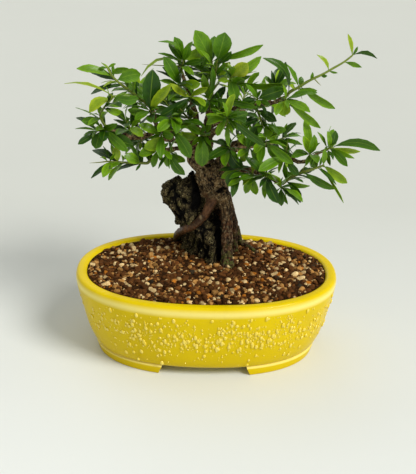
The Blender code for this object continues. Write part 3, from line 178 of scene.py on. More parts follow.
SPRAYS = {
    "high_left_tip": Spray("high_left", 1.0, [
        (-63, 246, 6), (-70, 252, 2), (-78, 258, -3), (-84, 263, -7), (-89, 269, -10), (-92, 275, -12)], [
        (0.78, -119, 273, -8, 8, 25, -2), (0.70, -62, 269, 4, 14, 15, 2), (1.0, -84, 278, 2, 3.5, 30, 1),
        (0.98, -99, 274, -2, 3, 40, 0), (0.56, -90, 257, -6, 4, 30, 0), (0.30, -69, 264, -8, 7, 65, 1),
        (0.84, -73, 274, -8, 7, 25, 2)], [(0.6, -97, 259)], 1),
    "young_left": Spray("left_main", 0.93, [
        (-96, 222, -9), (-99, 230, -14), (-95, 238, -16), (-89, 245, -17), (-86, 249, -18)], [
        (0.97, -130, 260, -6, 6, 58, -2), (0.90, -109, 233, -6, 10, 15, -3), (0.98, -64, 247, 8, 9, 20, -2),
        (0.35, -116, 224, -5, 9, 20, 2), (0.60, -80, 232, 4, 8, 30, 1)], [], 1),
    "left_tip": Spray("left_main", 1.0, [(-97, 215.5, -6), (-103, 215.5, -8)], [
        (0.65, -104, 198, -8, 12, 10, 0), (0.30, -70, 203, -14, 14, 15, -2), (1.0, -120, 202, -6, 7, 25, 1),
        (1.0, -122, 217, -4, 4, 50, 0), (0.9, -115, 211, -2, 3, 40, 0), (0.2, -74, 196, -3, 9, 20, 0),
        (0.6, -84, 222, 4, 7, 30, 1)], [(1.0, -134, 218)], 1),
    "low_left_tip": Spray("low_left", 1.0, [
        (-62, 185, -6), (-72, 185, -9), (-84, 185.5, -12), (-95, 186, -14)], [
        (0.72, -86, 200, -5, 8, 10, 0), (0.90, -86, 194, -3, 4, 30, 1), (0.20, -77, 192, -7, 11, 25, 0),
        (0.08, -89, 175, -6, 7, 62, 0), (0.40, -109, 169, -10, 7, 40, -3)], [(1.0, -110, 184)], 0),
    "great_leaf": Spray("high_left", 0.55, [(-53, 233, 4), (-54, 236, -4)], [
        (0.95, -51, 272, -8, 17, 10, 1), (0.55, -35, 261, -16, 10, 20, 3), (0.80, -68, 227, -6, 8, 25, 0),
        (0.60, -74, 236, -2, 8, 30, 2)], [], 1),
    "left_middle": Spray("left_main", 0.42, [(-44, 214, 0), (-43, 212, -8)], [
        (1.0, -59, 199, -6, 12, 15, 3), (0.7, -33, 212, -10, 9, 20, 1),
        (0.7, -64, 222, -4, 9, 25, 0)], [], 1),
    "low_left_middle": Spray("low_left", 0.62, [(-47, 198, -4), (-45, 200, -10)], [
        (0.6, -51.5, 181, -4, 7, 25, 0), (1.0, -64, 193, -5, 10, 20, 0), (1.0, -37, 205, -3, 4, 35, 0),
        (0.5, -43, 187, 6, 6, 30, 0)], [], 0),
    "left_hanging": Spray("left_main", 0.20, [(-28, 216, 6), (-34, 217, -4)], [
        (0.95, -17, 191, -8, 12, 12, 2), (0.6, -11, 211, 4, 9, 35, 0), (1.0, -46, 224, -6, 9, 25, 1),
        (0.8, -27, 230, -6, 8, 30, 0)], [(0.5, -30, 206)], 1),
    "low_left_hanging": Spray("low_left", 0.36, [(-35, 196.5, 2), (-36, 196, -6)], [
        (1.0, -22, 174, -4, 9, 20, -2), (0.5, -22, 187, 8, 8, 25, 0),
        (0.7, -38.5, 182, 2, 7, 20, 0)], [], 0),
    "over_trunk": Spray("front", 0.25, [(-4, 213, 8), (-8, 213, 0)], [
        (1.0, -6, 183, -2, 14, 10, 1), (0.5, 3, 195, 4, 7, 25, 0), (0.8, -20, 222, -5, 8, 30, 0)], [], 1),
    "yellow_pair": Spray("left", 0.68, [(-17, 249, 16), (-18, 249, 6)], [
        (0.9, -36, 261, -6, 7, 35, 2), (0.8, -2, 258, -4, 8, 40, 2), (1.0, -46, 230, -8, 9, 25, 2),
        (0.5, -28, 234, 4, 8, 25, 0)], [], 1),
    "top_left": Spray("left", 1.0, [(-25.5, 277, 17), (-24, 283, 12)], [
        (1.0, -37, 299, 2, 10, 20, 0), (0.95, -32, 303, -6, 9, 35, 0), (0.8, -46, 299, -10, 6, 55, -5),
        (1.0, -5, 291, 4, 10, 25, 2), (0.9, -62, 268, -8, 5, 55, -6), (0.7, -46, 289, -14, 5, 50, 0),
        (0.9, -20, 296, -4, 8, 30, 0), (0.6, -7, 283, -6, 7, 35, 1),
        (0.7, -7, 263, -6, 6, 45, -3)], [(0.5, -61, 278)], 1),
    "left_crown": Spray("left", 0.84, [(-25, 260, 15), (-28, 259, 8)], [
        (0.95, -41, 285, -8, 11, 15, 0), (0.6, -9, 261, -8, 10, 25, 1), (1.0, -45, 264, -4, 6, 30, 0),
        (0.45, -48, 273, -2, 5, 50, 0)], [(0.8, -42, 268)], 1),
    "top": Spray("leader", 1.0, [(1, 268, 26), (1, 276, 23), (1, 283, 20)], [
        (0.95, -14, 309, -6, 16, 10, 0), (0.80, -9, 292, -10, 6, 45, 0),
        (0.60, -17, 279, -4, 5, 50, 2)], [], 2),
    "top_right": Spray("leader", 0.82, [(4, 266, 20), (5, 276, 17), (6, 284, 14)], [
        (0.97, 12, 308, -4, 17, 12, 0), (1.0, 46, 297, -4, 8, 35, 1), (0.85, 18, 291, -10, 8, 40, 0),
        (0.55, 13, 281, -8, 6, 30, 0)], [], 1),
    "right_crown": Spray("high_right", 0.30, [(16, 250, 18), (18, 262, 11), (19, 270, 7)], [
        (1.0, 33, 281, -6, 14, 15, 0), (0.9, 45, 287, 8, 10, 25, 0), (0.85, 24, 248, -12, 11, 15, 0),
        (0.8, 66, 263, -6, 8, 40, -1), (0.7, 36, 270, 6, 5, 30, 1),
        (0.8, 7, 265, -6, 6, 30, 0)], [(0.95, 41, 274)], 1),
    "right_shield": Spray("high_right", 0.68, [(44, 246, 6), (42, 249, 0)], [
        (0.9, 67, 258, -4, 12, 15, 1), (1.0, 32, 262, -4, 6, 45, 0), (0.8, 37, 261, 6, 5, 45, 0),
        (0.6, 28, 240, -6, 8, 30, 0)], [], 1),
    "long_shoot": Spray("high_right", 1.0, [
        (72, 256, 2), (79, 260, -2), (86, 265, -5), (93, 269, -8), (100, 272.5, -10), (107, 277, -12),
        (118, 284, -14), (126, 291, -16)], [
        (0.08, 46, 286, -6, 8, 35, -8), (0.25, 68, 281, -4, 6, 40, 0), (0.27, 113, 241, -6, 8, 25, 0),
        (0.22, 96, 257, 4, 6, 25, 0), (0.26, 81, 270, 4, 6, 30, 0), (0.20, 71, 262, -6, 4, 40, 0),
        (0.42, 91, 274, -2, 4, 30, 0), (0.55, 104, 271, -2, 4, 30, 0), (0.66, 94, 290, -3, 5, 30, -2),
        (0.66, 113, 274, 0, 3, 40, 0), (0.86, 134, 279.5, -3, 5, 25, 1), (0.98, 120, 309, 0, 5, 35, 0),
        (1.0, 147, 287, -2, 5, 30, 5), (1.0, 129, 298, 0, 3, 30, 0)],
        [(0.24, 83, 249), (0.45, 87, 272), (0.47, 99, 262), (0.58, 110, 261), (0.84, 139, 273)], 0),
    "under_shoot": Spray("high_right", 0.90, [(65, 247, 0), (69, 249, -8)], [
        (0.8, 66, 233, -6, 14, 15, 0), (1.0, 101, 222, -6, 8, 30, 1),
        (0.9, 82, 245, 4, 7, 30, 0)], [(1.0, 87, 249)], 0),
    "right_inner": Spray("high_right", 0.55, [(43, 238, 8), (46, 230, 2), (49, 221, -3)], [
        (0.15, 61, 228, -8, 9, 20, 1), (0.45, 61, 213, -8, 6, 45, 0), (0.95, 70, 219, 4, 8, 20, 1),
        (1.0, 60, 210, 2, 8, 25, 0), (0.6, 30, 224, -6, 8, 30, 0)], [], 1),
    "front_middle": Spray("front", 1.0, [(16.5, 228, -29), (16, 231, -34)], [
        (0.9, 52, 204, -8, 8, 30, 1), (1.0, 12, 245, -2, 5, 40, 0), (0.6, -3, 224, -3, 8, 25, -2),
        (0.5, 18, 203, -4, 6, 20, 0), (0.8, 7, 213, -5, 8, 25, 0), (0.9, 35, 235, 4, 9, 25, 0)], [], 0),
    "front_leader": Spray("leader", 0.66, [(0, 246, 16), (-1, 247, 4)], [
        (0.9, 43, 240, -8, 7, 30, 3), (1.0, -9, 235, -8, 8, 25, 0), (0.7, 9, 232, -4, 6, 35, 0),
        (0.8, 1, 277, -2, 8, 35, 0), (0.6, 14, 259, 4, 8, 30, 0)], [], 0),
    "right_middle": Spray("right", 0.50, [(50, 209, 0), (53, 207, -9)], [
        (1.0, 78, 187, -6, 9, 25, 1), (0.6, 74, 196, 4, 7, 30, 8), (0.8, 66, 190, 6, 9, 30, 0),
        (1.0, 80, 193, 2, 5, 45, 1)], [], 1),
    "right_lower": Spray("right", 0.68, [(70, 194, -6), (71, 192, -13)], [
        (1.0, 84, 176, -8, 8, 20, 0), (0.6, 54, 182, -2, 9, 25, -1),
        (0.7, 73, 171, 6, 6, 35, 0)], [(0.6, 72, 211)], 0),
    "right_fan": Spray("right", 0.85, [(92, 194, -7), (93, 197, -12)], [
        (0.8, 86, 231, 4, 8, 20, 0), (1.0, 86, 214, -3, 8, 20, 0), (1.0, 96, 215, -8, 8, 20, 0),
        (0.6, 76, 194, -4, 8, 25, -2), (0.7, 99, 184, 4, 8, 25, 0)], [], 0),
    "right_tip": Spray("right", 1.0, [(110, 203, -9), (114, 204.5, -10)], [
        (1.0, 157, 202, -8, 9, 20, 7), (0.9, 139, 200.5, 2, 6, 25, 0), (0.8, 134, 194, -6, 6, 25, 0),
        (0.5, 128, 186, -9, 8, 20, 2), (0.8, 115, 220, 0, 7, 15, 0), (0.6, 108, 219, -6, 5, 30, 0),
        (0.3, 99, 219, 2, 4, 45, 0), (0.4, 112, 186, 2, 5, 30, 0)], [(0.7, 104, 226)], 0),
    "low_right_tip": Spray("low_right", 1.0, [
        (75, 173, -6), (84, 178, -9), (92, 181, -12), (100, 184, -14), (107, 187, -15)], [
        (0.55, 118, 163, -8, 9, 25, 0), (0.97, 129, 169, -5, 9, 25, 1), (1.0, 106, 203, -6, 6, 25, 0),
        (0.90, 127, 149, 2, 5, 50, 4), (0.35, 70, 176, -4, 7, 30, 0), (0.12, 95, 165, 2, 6, 35, 0),
        (0.14, 87, 149, -6, 8, 25, 3)], [(0.5, 91, 191)], 0),
    "low_right_under": Spray("low_right", 0.84, [(65, 167, -6), (68, 163, -13)], [
        (1.0, 81, 155, -3, 7, 25, 1), (1.0, 69, 145, -3, 7, 20, 0), (0.8, 75, 147, 4, 5, 30, 0)], [], 0),
    "low_right_broad": Spray("low_right", 0.60, [(52, 175, -3), (54, 174, -10)], [
        (1.0, 66, 148, -5, 11, 20, 0), (0.8, 34, 193, -4, 9, 30, 0), (0.6, 64, 171, 6, 6, 30, 2),
        (0.9, 53, 152, 2, 6, 30, 0)], [(0.5, 59, 157)], 0),
    "low_right_hanging": Spray("low_right", 0.42, [(40, 177, 2), (40, 175, -5)], [
        (0.8, 35, 157, -2, 8, 15, 0), (1.0, 45, 156, -3, 8, 15, 0)], [], 0),
    "low_right_inner": Spray("low_right", 0.24, [(26, 181, 9), (29, 180, 1)], [
        (1.0, 18, 164, -4, 12, 10, 0), (0.6, 12, 172, -2, 7, 25, 0)], [], 0),
    "right_hanging": Spray("right", 0.22, [(17, 202, 12), (19, 201, 3)], [
        (1.0, 31, 182, -3, 12, 15, -2), (0.8, 5, 197, -3, 7, 25, 0), (0.6, 8, 209, -4, 8, 30, 0)], [], 0),
    "right_curtain": Spray("right", 0.38, [(35, 204, 8), (38, 201, 0)], [
        (0.5, 31, 188, -2, 8, 20, 0), (1.0, 54, 180, -4, 8, 30, 0), (0.8, 49, 191, 6, 7, 30, 0),
        (0.6, 25, 214, -5, 8, 30, 0)], [], 0),
    "inner_left": Spray("left", 0.50, [(-22, 232, 14), (-27, 238, 4)], [], [], 8),
    "inner_leader": Spray("leader", 0.50, [(6, 232, 18), (9, 238, 6)], [], [], 7),
    "inner_left_main": Spray("left_main", 0.30, [(-30, 224, 2), (-36, 230, -10)], [], [], 7),
    "inner_right": Spray("high_right", 0.42, [(24, 236, 10), (28, 232, -2)], [], [], 7),
    "inner_low_right": Spray("right", 0.30, [(28, 212, 8), (34, 216, -4)], [], [], 7),
    "inner_top": Spray("leader", 0.90, [(-4, 268, 36), (-10, 276, 40)], [], [], 7),
    "outer_left": Spray("left_main", 0.70, [(-72, 218, -2), (-76, 226, -6)], [], [], 6),
    "outer_low_left": Spray("left_main", 0.62, [(-62, 206, 10), (-68, 203, 14)], [], [], 6),
    "upper_left": Spray("high_left", 0.85, [(-58, 246, 18), (-62, 254, 22)], [], [], 6),
    "upper_right": Spray("high_right", 0.80, [(56, 254, 16), (58, 262, 20)], [], [], 6),
    "back_left_tip": Spray("back_left", 1.0, [(-58, 245, 90), (-65, 251, 93)], [], [(0.6, -70, 240)], 7),
    "back_left_middle": Spray("back_left", 0.62, [(-36, 238, 70), (-40, 247, 76)], [], [], 6),
    "back_right_tip": Spray("back_right", 1.0, [(54, 251, 92), (61, 256, 95)], [], [(0.6, 70, 250)], 7),
    "back_right_middle": Spray("back_right", 0.62, [(30, 247, 72), (32, 256, 78)], [], [], 6),
    "back_top_tip": Spray("back_top", 1.0, [(-5, 270, 78), (-6, 277, 84)], [], [], 7),
    "back_top_middle": Spray("back_top", 0.55, [(8, 264, 54), (12, 271, 56)], [], [], 5),
    "back_low_left_tip": Spray("back_low_left", 1.0, [(-60, 212, 68), (-67, 215, 72)], [], [], 7),
    "back_low_left_middle": Spray("back_low_left", 0.55, [(-34, 215, 56), (-38, 222, 64)], [], [], 5),
    "back_low_right_tip": Spray("back_low_right", 1.0, [(63, 210, 66), (70, 213, 70)], [], [], 7),
    "back_low_right_middle": Spray("back_low_right", 0.55, [(38, 210, 56), (42, 216, 64)], [], [], 5),
}

# Twigs, thorns and blades
TWIG_FOOT_RADIUS = 1.3
TWIG_TIP_RADIUS = 0.8
STUB_LENGTH = 2.2
THORN_RADIUS = 0.75
THORN_POINT = 0.2
ROOT_DEPTH = 1.5
BLADE_THICKNESS = 0.7
BLADE_ARCH = 0.06
BLADE_KEEL = 0.13
BROAD_WIDTH = 11.0
SMALL_LEAF = (16.0, 30.0)
SMALL_LEAF_SLENDERNESS = (0.30, 0.40)
SAFE_GAP = 0.45
WIDEST_BLADE = 14.0
THORN_STEP = -4.0
SEED = 41

# How far along the blade, then the share of its width there
SLENDER_OUTLINE = [(0.0, 0.0), (0.36, 0.90), (0.72, 0.82), (1.0, 0.0)]
BROAD_OUTLINE = [(0.0, 0.0), (0.34, 0.78), (0.66, 1.0), (0.89, 0.70), (1.0, 0.0)]

# What a leaf that meets another may try: its tip moved along the line of sight, and its blade turned
SHIFTS = [(0, 0), (0, 18), (0, -18), (-5, 0), (5, 0), (-5, 20), (5, -20), (-10, 0), (10, 0), (0, 35),
          (-15, 0), (15, 0), (-20, 15), (20, -15), (-26, 0), (26, 0), (0, -40), (-12, 30), (12, 30)]

# What the camera looks at, and its roll in degrees
AIM = Vector((0.9, 0.0, 111.7))
CAMERA_ROLL = 1.21

# Where the two lights shine from, how wide they spread in degrees, and their tints; the floor's reach in
# metres and the tint of the room
KEY_LIGHT = ((0.80, -0.66, 0.98), 26.0, (1.0, 0.985, 0.95))
FILL_LIGHT = ((-0.55, 0.80, 0.70), 60.0, (0.92, 0.96, 1.0))
FLOOR_RADIUS = 30.0
ROOM_TINT = (0.99, 1.0, 0.95, 1.0)

# The height at which the roots become the bole, the knot on its front and the scar on the crossing root
BOLE_FOOT = 138.0
KNOT = Vector((10.6, 15.0, 153.8))
KNOT_DEPTH = 2.4
SCAR = Vector((-5.3, 7.0, 128.9))

# The shaded clefts beside the bole and beside the front root: height, then how far right the middle lies
BOLE_CLEFT = [(127.0, -14.5), (139.5, -10.4), (153.1, -10.1), (166.6, -13.6), (173.8, -16.1)]
ROOT_CLEFT = [(76.0, 12.6), (96.0, 11.8), (109.2, 10.9), (122.2, 9.5), (135.0, 8.0), (143.0, 6.5)]
BOLE_CLEFT_WIDTH = 8.0
ROOT_CLEFT_WIDTH = 4.2
CLEFT_BACK = 32.0

# The roots as they show: the crossing one sags a little between the bole and the soil
SHOWN_ROOTS = {**ROOTS, "crossing": [
    (8, 160, 20, 7), (4.4, 150, 13, 5.1), (0.4, 140, 9, 4.5), (-4.8, 131, 8, 4.2), (-12.5, 123, 8, 4.0),
    (-21, 119, 14, 4.0), (-26.5, 115.5, 34, 4.0), (-29, 111.5, 58, 3.8), (-29.5, 107.5, 66, 3.4),
    (-29.5, 99, 65, 2.6)]}

# How near the skins of two roots lie where a seam parts them, how deep the seam is, and where the crossing
# root leaves the rough bark of the bole
SEAM_REACH = 0.35
SEAM_DEPTH = 0.9
SLEEK_TOP = 151.0

# The leaf's rows: how far along it, and the share of its width there; the first rows are its stalk
LEAF_STATIONS = [(0.0, 0.07), (0.08, 0.09), (0.20, 0.44), (0.36, 0.80), (0.54, 0.98), (0.72, 0.98),
                 (0.87, 0.70), (1.0, 0.08)]
SMALL_LEAF_STATIONS = [(0.0, 0.09), (0.10, 0.12), (0.32, 0.72), (0.56, 1.0), (0.80, 0.74), (1.0, 0.06)]

# The sprays in the middle of the crown, which take twice as many small leaves, and the one that takes none
DENSE_SPRAYS = {
    "inner_left", "inner_leader", "inner_left_main", "inner_right", "inner_low_right", "inner_top",
    "front_middle", "front_leader", "over_trunk", "yellow_pair", "right_hanging", "right_inner"}
BARE_SPRAYS = {"long_shoot"}

# Leaves from this width up are modelled in more facets
BROAD_LEAF = 7.0


def seen(across, up, depth):
    """The place that reads at across and up from the front, at a depth behind the pot's middle plane."""
    reading = Vector((across, 0.0, up))
    return EYE + (reading - EYE) * (1.0 - depth / EYE.y)


def ring_faces(rows, sides, split=False):
    """Faces between equal rings of points, one ring after another; split makes them triangles."""
    faces = []
    for low in range(0, (rows - 1) * sides, sides):
        high = low + sides
        for side in range(sides):
            after = (side + 1) % sides
            if split:
                faces.append((low + side, low + after, high + after))
                faces.append((low + side, high + after, high + side))
            else:
                faces.append((low + side, low + after, high + after, high + side))
    return faces


def loft(rings, split=False):
    """Points and faces of a skin through equal rings, closed at both ends, for rings that turn
    anticlockwise seen from above and run from the bottom to the top; split makes its sides triangles."""
    sides = len(rings[0])
    points = [point for ring in rings for point in ring]
    faces = [tuple(reversed(range(sides)))] + ring_faces(len(rings), sides, split)
    top = (len(rings) - 1) * sides
    faces.append(tuple(range(top, top + sides)))
    return points, faces


def rock_rings(levels, sides, grow):
    """Craggy rings up the rock, each pushed in and out by the same seeded ridges, grown by a clearance."""
    draw = random.Random(SEED)
    ridges = [draw.uniform(-1, 1) for side in range(sides)]
    rings = []
    for level, (centre_x, centre_y, half_width, half_depth, height) in enumerate(levels):
        chips = [draw.uniform(-1, 1) for side in range(sides)]
        lift = [draw.uniform(-1, 1) for side in range(sides)]
        low, high = SLANT_FADES
        slant = ROCK_SLANT * max(0.0, min(1.0, (high - height) / (high - low)))
        ring = []
        for side in range(sides):
            angle = 2 * math.pi * side / sides
            rough = 1 + ROCK_ROUGHNESS * (0.6 * ridges[side] + 0.4 * chips[side])
            x = centre_x + (half_width * rough + grow) * math.cos(angle)
            y = centre_y + (half_depth * rough + grow) * math.sin(angle)
            z = height
            if level > 0:
                z += lift[side] * ROCK_CHIP
            if height > TILT_FROM:
                z -= ROCK_TILT * (x - centre_x)
            ring.append(Vector((x + slant * (y - centre_y), y, z)))
        rings.append(ring)
    for below, above in zip(rings[0], rings[-1]):
        below.z -= grow
        above.z += grow
    return rings


def rock_parts(grow):
    """The skins of the rock's body and of the spur beside the trunk."""
    body = loft(rock_rings(ROCK_LEVELS, ROCK_SIDES, grow), split=True)
    spur = loft(rock_rings(ROCK_SPUR, SPUR_SIDES, grow), split=True)
    return body, spur


def wood(points):
    """The places and radii of a limb or a root."""
    places = [seen(across, up, depth) for across, up, depth, radius in points]
    radii = [radius for across, up, depth, radius in points]
    return places, radii


def point_along(places, radii, share):
    """The place, the direction and the radius at a share of a line's length."""
    lengths = [(b - a).length for a, b in zip(places, places[1:])]
    left = share * sum(lengths)
    for index, length in enumerate(lengths):
        if left <= length or index == len(lengths) - 1:
            part = min(1.0, left / length)
            place = places[index].lerp(places[index + 1], part)
            radius = radii[index] + (radii[index + 1] - radii[index]) * part
            return place, (places[index + 1] - places[index]).normalized(), radius
        left -= length


def spray_layout(spray):
    """Where the stub on the limb runs, and the places and radii of the twig that starts beyond it."""
    places, radii = wood(LIMBS[spray.limb])
    root, along, thickness = point_along(places, radii, spray.at)
    twig = [seen(*point) for point in spray.twig]
    heading = (twig[0] - root).normalized()
    if spray.at == 1.0:
        stub = None
        start = root + along * CLEARANCE
        foot_radius = thickness
        line = [start, start + along * STUB_LENGTH] + twig
    else:
        sine = max(0.3, heading.cross(along).length)
        cosine = abs(heading.dot(along))
        reach = (thickness + TWIG_FOOT_RADIUS * cosine) / sine + STUB_LENGTH
        end = root + heading * reach
        stub = [root, end]
        start = end + heading * CLEARANCE
        foot_radius = TWIG_FOOT_RADIUS
        if (twig[0] - root).length < reach + STUB_LENGTH:
            twig[0] = root + heading * (reach + STUB_LENGTH)
        line = [start] + twig
    share = [index / (len(line) - 1) for index in range(len(line))]
    widths = [foot_radius + (TWIG_TIP_RADIUS - foot_radius) * part for part in share]
    return stub, line, widths


Blade = namedtuple("Blade", "foot tip normal width bow arch")


def blade_rows(blade, outline, grow=0.0):
    """Left, middle and right points of a blade at each station of its outline."""
    run = blade.tip - blade.foot
    heading = run.normalized()
    side = blade.normal.cross(heading)
    rows = []
    for share, breadth in outline:
        swell = 4 * share * (1 - share)
        middle = blade.foot + run * share + blade.bow * swell
        middle = middle + blade.normal * (blade.arch * run.length * swell)
        half = breadth * blade.width / 2 + grow
        keel = BLADE_KEEL if blade.width >= BROAD_WIDTH else 0.0
        lift = blade.normal * (keel * breadth * blade.width)
        rows.append((middle + side * half + lift, middle, middle - side * half + lift))
    return rows


def blade_shell(blade, outline, first=0):
    """A closed skin that stands a safe gap off the blade, from one of its stations to its tip."""
    rows = blade_rows(blade, outline, SAFE_GAP)[first:]
    thick = blade.normal * (BLADE_THICKNESS / 2 + SAFE_GAP)
    points = []
    for row in rows:
        points += [point + thick for point in row] + [point - thick for point in reversed(row)]
    return BVHTree.FromPolygons(points, ring_faces(len(rows), 6, split=True))


def tube_shell(places, radii):
    """A closed skin that stands a safe gap off a tube."""
    points = []
    for index, place in enumerate(places):
        before = places[max(0, index - 1)]
        after = places[min(len(places) - 1, index + 1)]
        heading = (after - before).normalized()
        side = heading.cross(Vector((0.3, 0.2, 1.0))).normalized()
        other = heading.cross(side)
        radius = radii[index] + SAFE_GAP
        for step in range(6):
            angle = math.pi * step / 3
            points.append(place + side * (radius * math.cos(angle)) + other * (radius * math.sin(angle)))
    return BVHTree.FromPolygons(points, ring_faces(len(places), 6, split=True))


class Thicket:
    """Everything that leaves may not cross, and what has been placed so far."""

    def __init__(self):
        self.solids = []

    def add(self, owner, ends, whole, outer=None):
        """Takes in a skin, with the ball that holds it."""
        low = [min(point[axis] for point in ends) for axis in range(3)]
        high = [max(point[axis] for point in ends) for axis in range(3)]
        middle = (Vector(low) + Vector(high)) / 2
        reach = (Vector(high) - Vector(low)).length / 2
        self.solids.append((owner, middle, reach, whole, outer))

    def is_clear(self, owner, ends, whole, outer):
        """Whether a skin crosses none of the others; near its own foot it may touch its own spray."""
        middle = (ends[0] + ends[1]) / 2
        reach = (ends[0] - ends[1]).length / 2
        for other, centre, size, skin, far_skin in self.solids:
            if (centre - middle).length > size + reach + WIDEST_BLADE:
                continue
            if other != owner:
                if whole.overlap(skin):
                    return False
            elif far_skin and outer.overlap(far_skin):
                return False
        return True


def blade_outline(width):
    """The outline of a broad or of a slender blade."""
    return BROAD_OUTLINE if width >= BROAD_WIDTH else SLENDER_OUTLINE


def aimed_blade(foot, leaf, shift, extra_turn):
    """A leaf as it reads from the front, its tip moved along the line of sight and its blade turned."""
    tip = seen(leaf.across, leaf.up, foot.y + leaf.step + shift)
    heading = (tip - foot).normalized()
    sight = (EYE - foot).normalized()
    facing = (sight - heading * sight.dot(heading)).normalized()
    left = facing.cross(heading)
    turn = Matrix.Rotation(math.radians(leaf.turn + extra_turn), 3, heading)
    normal = turn @ facing
    return Blade(foot, tip, normal, leaf.width, left * leaf.bow, BLADE_ARCH)


def free_blade(foot, along, draw):
    """A small leaf that leans away from its twig and holds its face up to the light."""
    around = draw.uniform(0, 2 * math.pi)
    across = along.cross(Vector((0.1, 0.2, 1.0))).normalized()
    other = along.cross(across)
    radial = across * math.cos(around) + other * math.sin(around)
    lean = math.radians(draw.uniform(35, 75))
    heading = along * math.cos(lean) + radial * math.sin(lean)
    heading = (heading + Vector((0, 0, draw.uniform(-0.15, 0.3)))).normalized()
    length = draw.uniform(*SMALL_LEAF)
    width = length * draw.uniform(*SMALL_LEAF_SLENDERNESS)
    light = Vector((draw.uniform(-0.5, 0.5), draw.uniform(-0.6, 0.4), 1.0))
    normal = (light - heading * light.dot(heading)).normalized()
    return Blade(foot, foot + heading * length, normal, width, Vector(), draw.uniform(0.03, 0.10))


def leaf_foot(line, share):
    """The place on a twig's middle line where a leaf is rooted, well inside the wood at both ends."""
    length = sum((b - a).length for a, b in zip(line, line[1:]))
    margin = ROOT_DEPTH / length
    return point_along(line, [0.0] * len(line), max(margin, min(1 - margin, share)))[0]


def plan_leaves(fill):
    """Every blade of every spray, each one clear of all the others, with small leaves to fill them."""
    thicket = Thicket()
    for rock_points, rock_faces in rock_parts(SAFE_GAP):
        thicket.add("rock", rock_points, BVHTree.FromPolygons(rock_points, rock_faces))
    for points in [*LIMBS.values(), *ROOTS.values()]:
        places, radii = wood(points)
        for index in range(len(places) - 1):
            pair = places[index:index + 2]
            thicket.add("trunk", pair, tube_shell(pair, radii[index:index + 2]))
    layout = {}
    for label, spray in SPRAYS.items():
        stub, line, widths = spray_layout(spray)
        layout[label] = (line, widths)
        if stub:
            thicket.add("trunk", stub, tube_shell(stub, [widths[0]] * 2))
        for index in range(len(line) - 1):
            pair = line[index:index + 2]
            thicket.add(label, pair, tube_shell(pair, widths[index:index + 2]))
    blades = {label: [] for label in SPRAYS}
    thorns = {label: [] for label in SPRAYS}

    def try_blade(label, blade):
        outline = blade_outline(blade.width)
        whole = blade_shell(blade, outline)
        outer = blade_shell(blade, outline, first=1)
        ends = (blade.foot, blade.tip)
        if not thicket.is_clear(label, ends, whole, outer):
            return False
        thicket.add(label, ends, whole, outer)
        blades[label].append(blade)
        return True

    for label, spray in SPRAYS.items():
        line, widths = layout[label]
        for leaf in map(Leaf._make, spray.leaves):
            foot = leaf_foot(line, leaf.along)
            for shift, extra_turn in SHIFTS:
                if try_blade(label, aimed_blade(foot, leaf, shift, extra_turn)):
                    break
        for share, across, up in spray.thorns:
            foot = leaf_foot(line, share)
            point = seen(across, up, foot.y + THORN_STEP)
            whole = tube_shell([foot, point], [THORN_RADIUS, THORN_POINT])
            if thicket.is_clear(label, (foot, point), whole, whole):
                thicket.add(label, (foot, point), whole)
                thorns[label].append((foot, point))
    draw = random.Random(SEED + 1)
    for label, spray in SPRAYS.items():
        line, widths = layout[label]
        for index in range(spray.extra):
            share = (index + draw.uniform(0.3, 0.9)) / spray.extra
            foot, along, radius = point_along(line, widths, max(0.12, min(0.93, share)))
            for attempt in range(12):
                if try_blade(label, free_blade(foot, along, draw)):
                    break
    draw = random.Random(SEED + 7)
    for label, (line, widths) in layout.items():
        count = fill * 2 if label in DENSE_SPRAYS else 0 if label in BARE_SPRAYS else fill
        for index in range(count):
            foot, along, radius = point_along(line, widths, draw.uniform(0.05, 0.97))
            for attempt in range(3):
                blade = free_blade(foot, along, draw)
                shorter = draw.uniform(0.45, 1.1)
                blade = blade._replace(tip=foot.lerp(blade.tip, shorter),
                                       width=blade.width * shorter * draw.uniform(0.7, 1.15))
                if try_blade(label, blade):
                    break
    return layout, blades, thorns


def in_frame(point):
    """A place measured from the middle of the pot in millimetres, as the frame has it in metres."""
    return (Vector(point) + SHIFT) * MM


def deselect_all():
    """Leaves nothing selected."""
    for thing in list(bpy.context.selected_objects):
        thing.select_set(False)


def take_up(thing):
    """Makes one object the only selected and the active one."""
    deselect_all()
    thing.select_set(True)
    bpy.context.view_layer.objects.active = thing


def apply_modifier(thing, kind, **values):
    """Adds a modifier, sets its values and applies it."""
    take_up(thing)
    bpy.ops.object.modifier_add(type=kind)
    step = thing.modifiers[-1]
    for label, value in values.items():
        setattr(step, label, value)
    bpy.ops.object.modifier_apply(modifier=step.name)


def select_vertices(thing, test):
    """In edit mode, selects the vertices whose place passes the test, and the edges and faces they span."""
    bpy.ops.object.mode_set(mode="OBJECT")
    mesh = thing.data
    picked = [bool(test(vert.co)) for vert in mesh.vertices]
    mesh.vertices.foreach_set("select", picked)
    mesh.edges.foreach_set("select", [all(picked[i] for i in edge.vertices) for edge in mesh.edges])
    mesh.polygons.foreach_set("select", [all(picked[i] for i in face.vertices) for face in mesh.polygons])
    bpy.ops.object.mode_set(mode="EDIT")


def move_into_frame(thing):
    """Puts a piece modelled round the pot's middle in millimetres in its place, in its own mesh."""
    thing.data.transform(Matrix.Scale(MM, 4) @ Matrix.Translation(SHIFT))


def cut_away(target, cutters):
    """Cuts the target with each cutter in turn and removes the cutters."""
    for cutter in cutters:
        apply_modifier(target, "BOOLEAN", operation="DIFFERENCE", solver="EXACT", object=cutter)
        bpy.data.objects.remove(cutter, do_unlink=True)


def mark(piece, label, shares):
    """Keeps a share on every point of a piece, for its material to read."""
    layer = piece.data.attributes.new(label, "FLOAT", "POINT")
    layer.data.foreach_set("value", [min(1.0, max(0.0, share)) for share in shares])


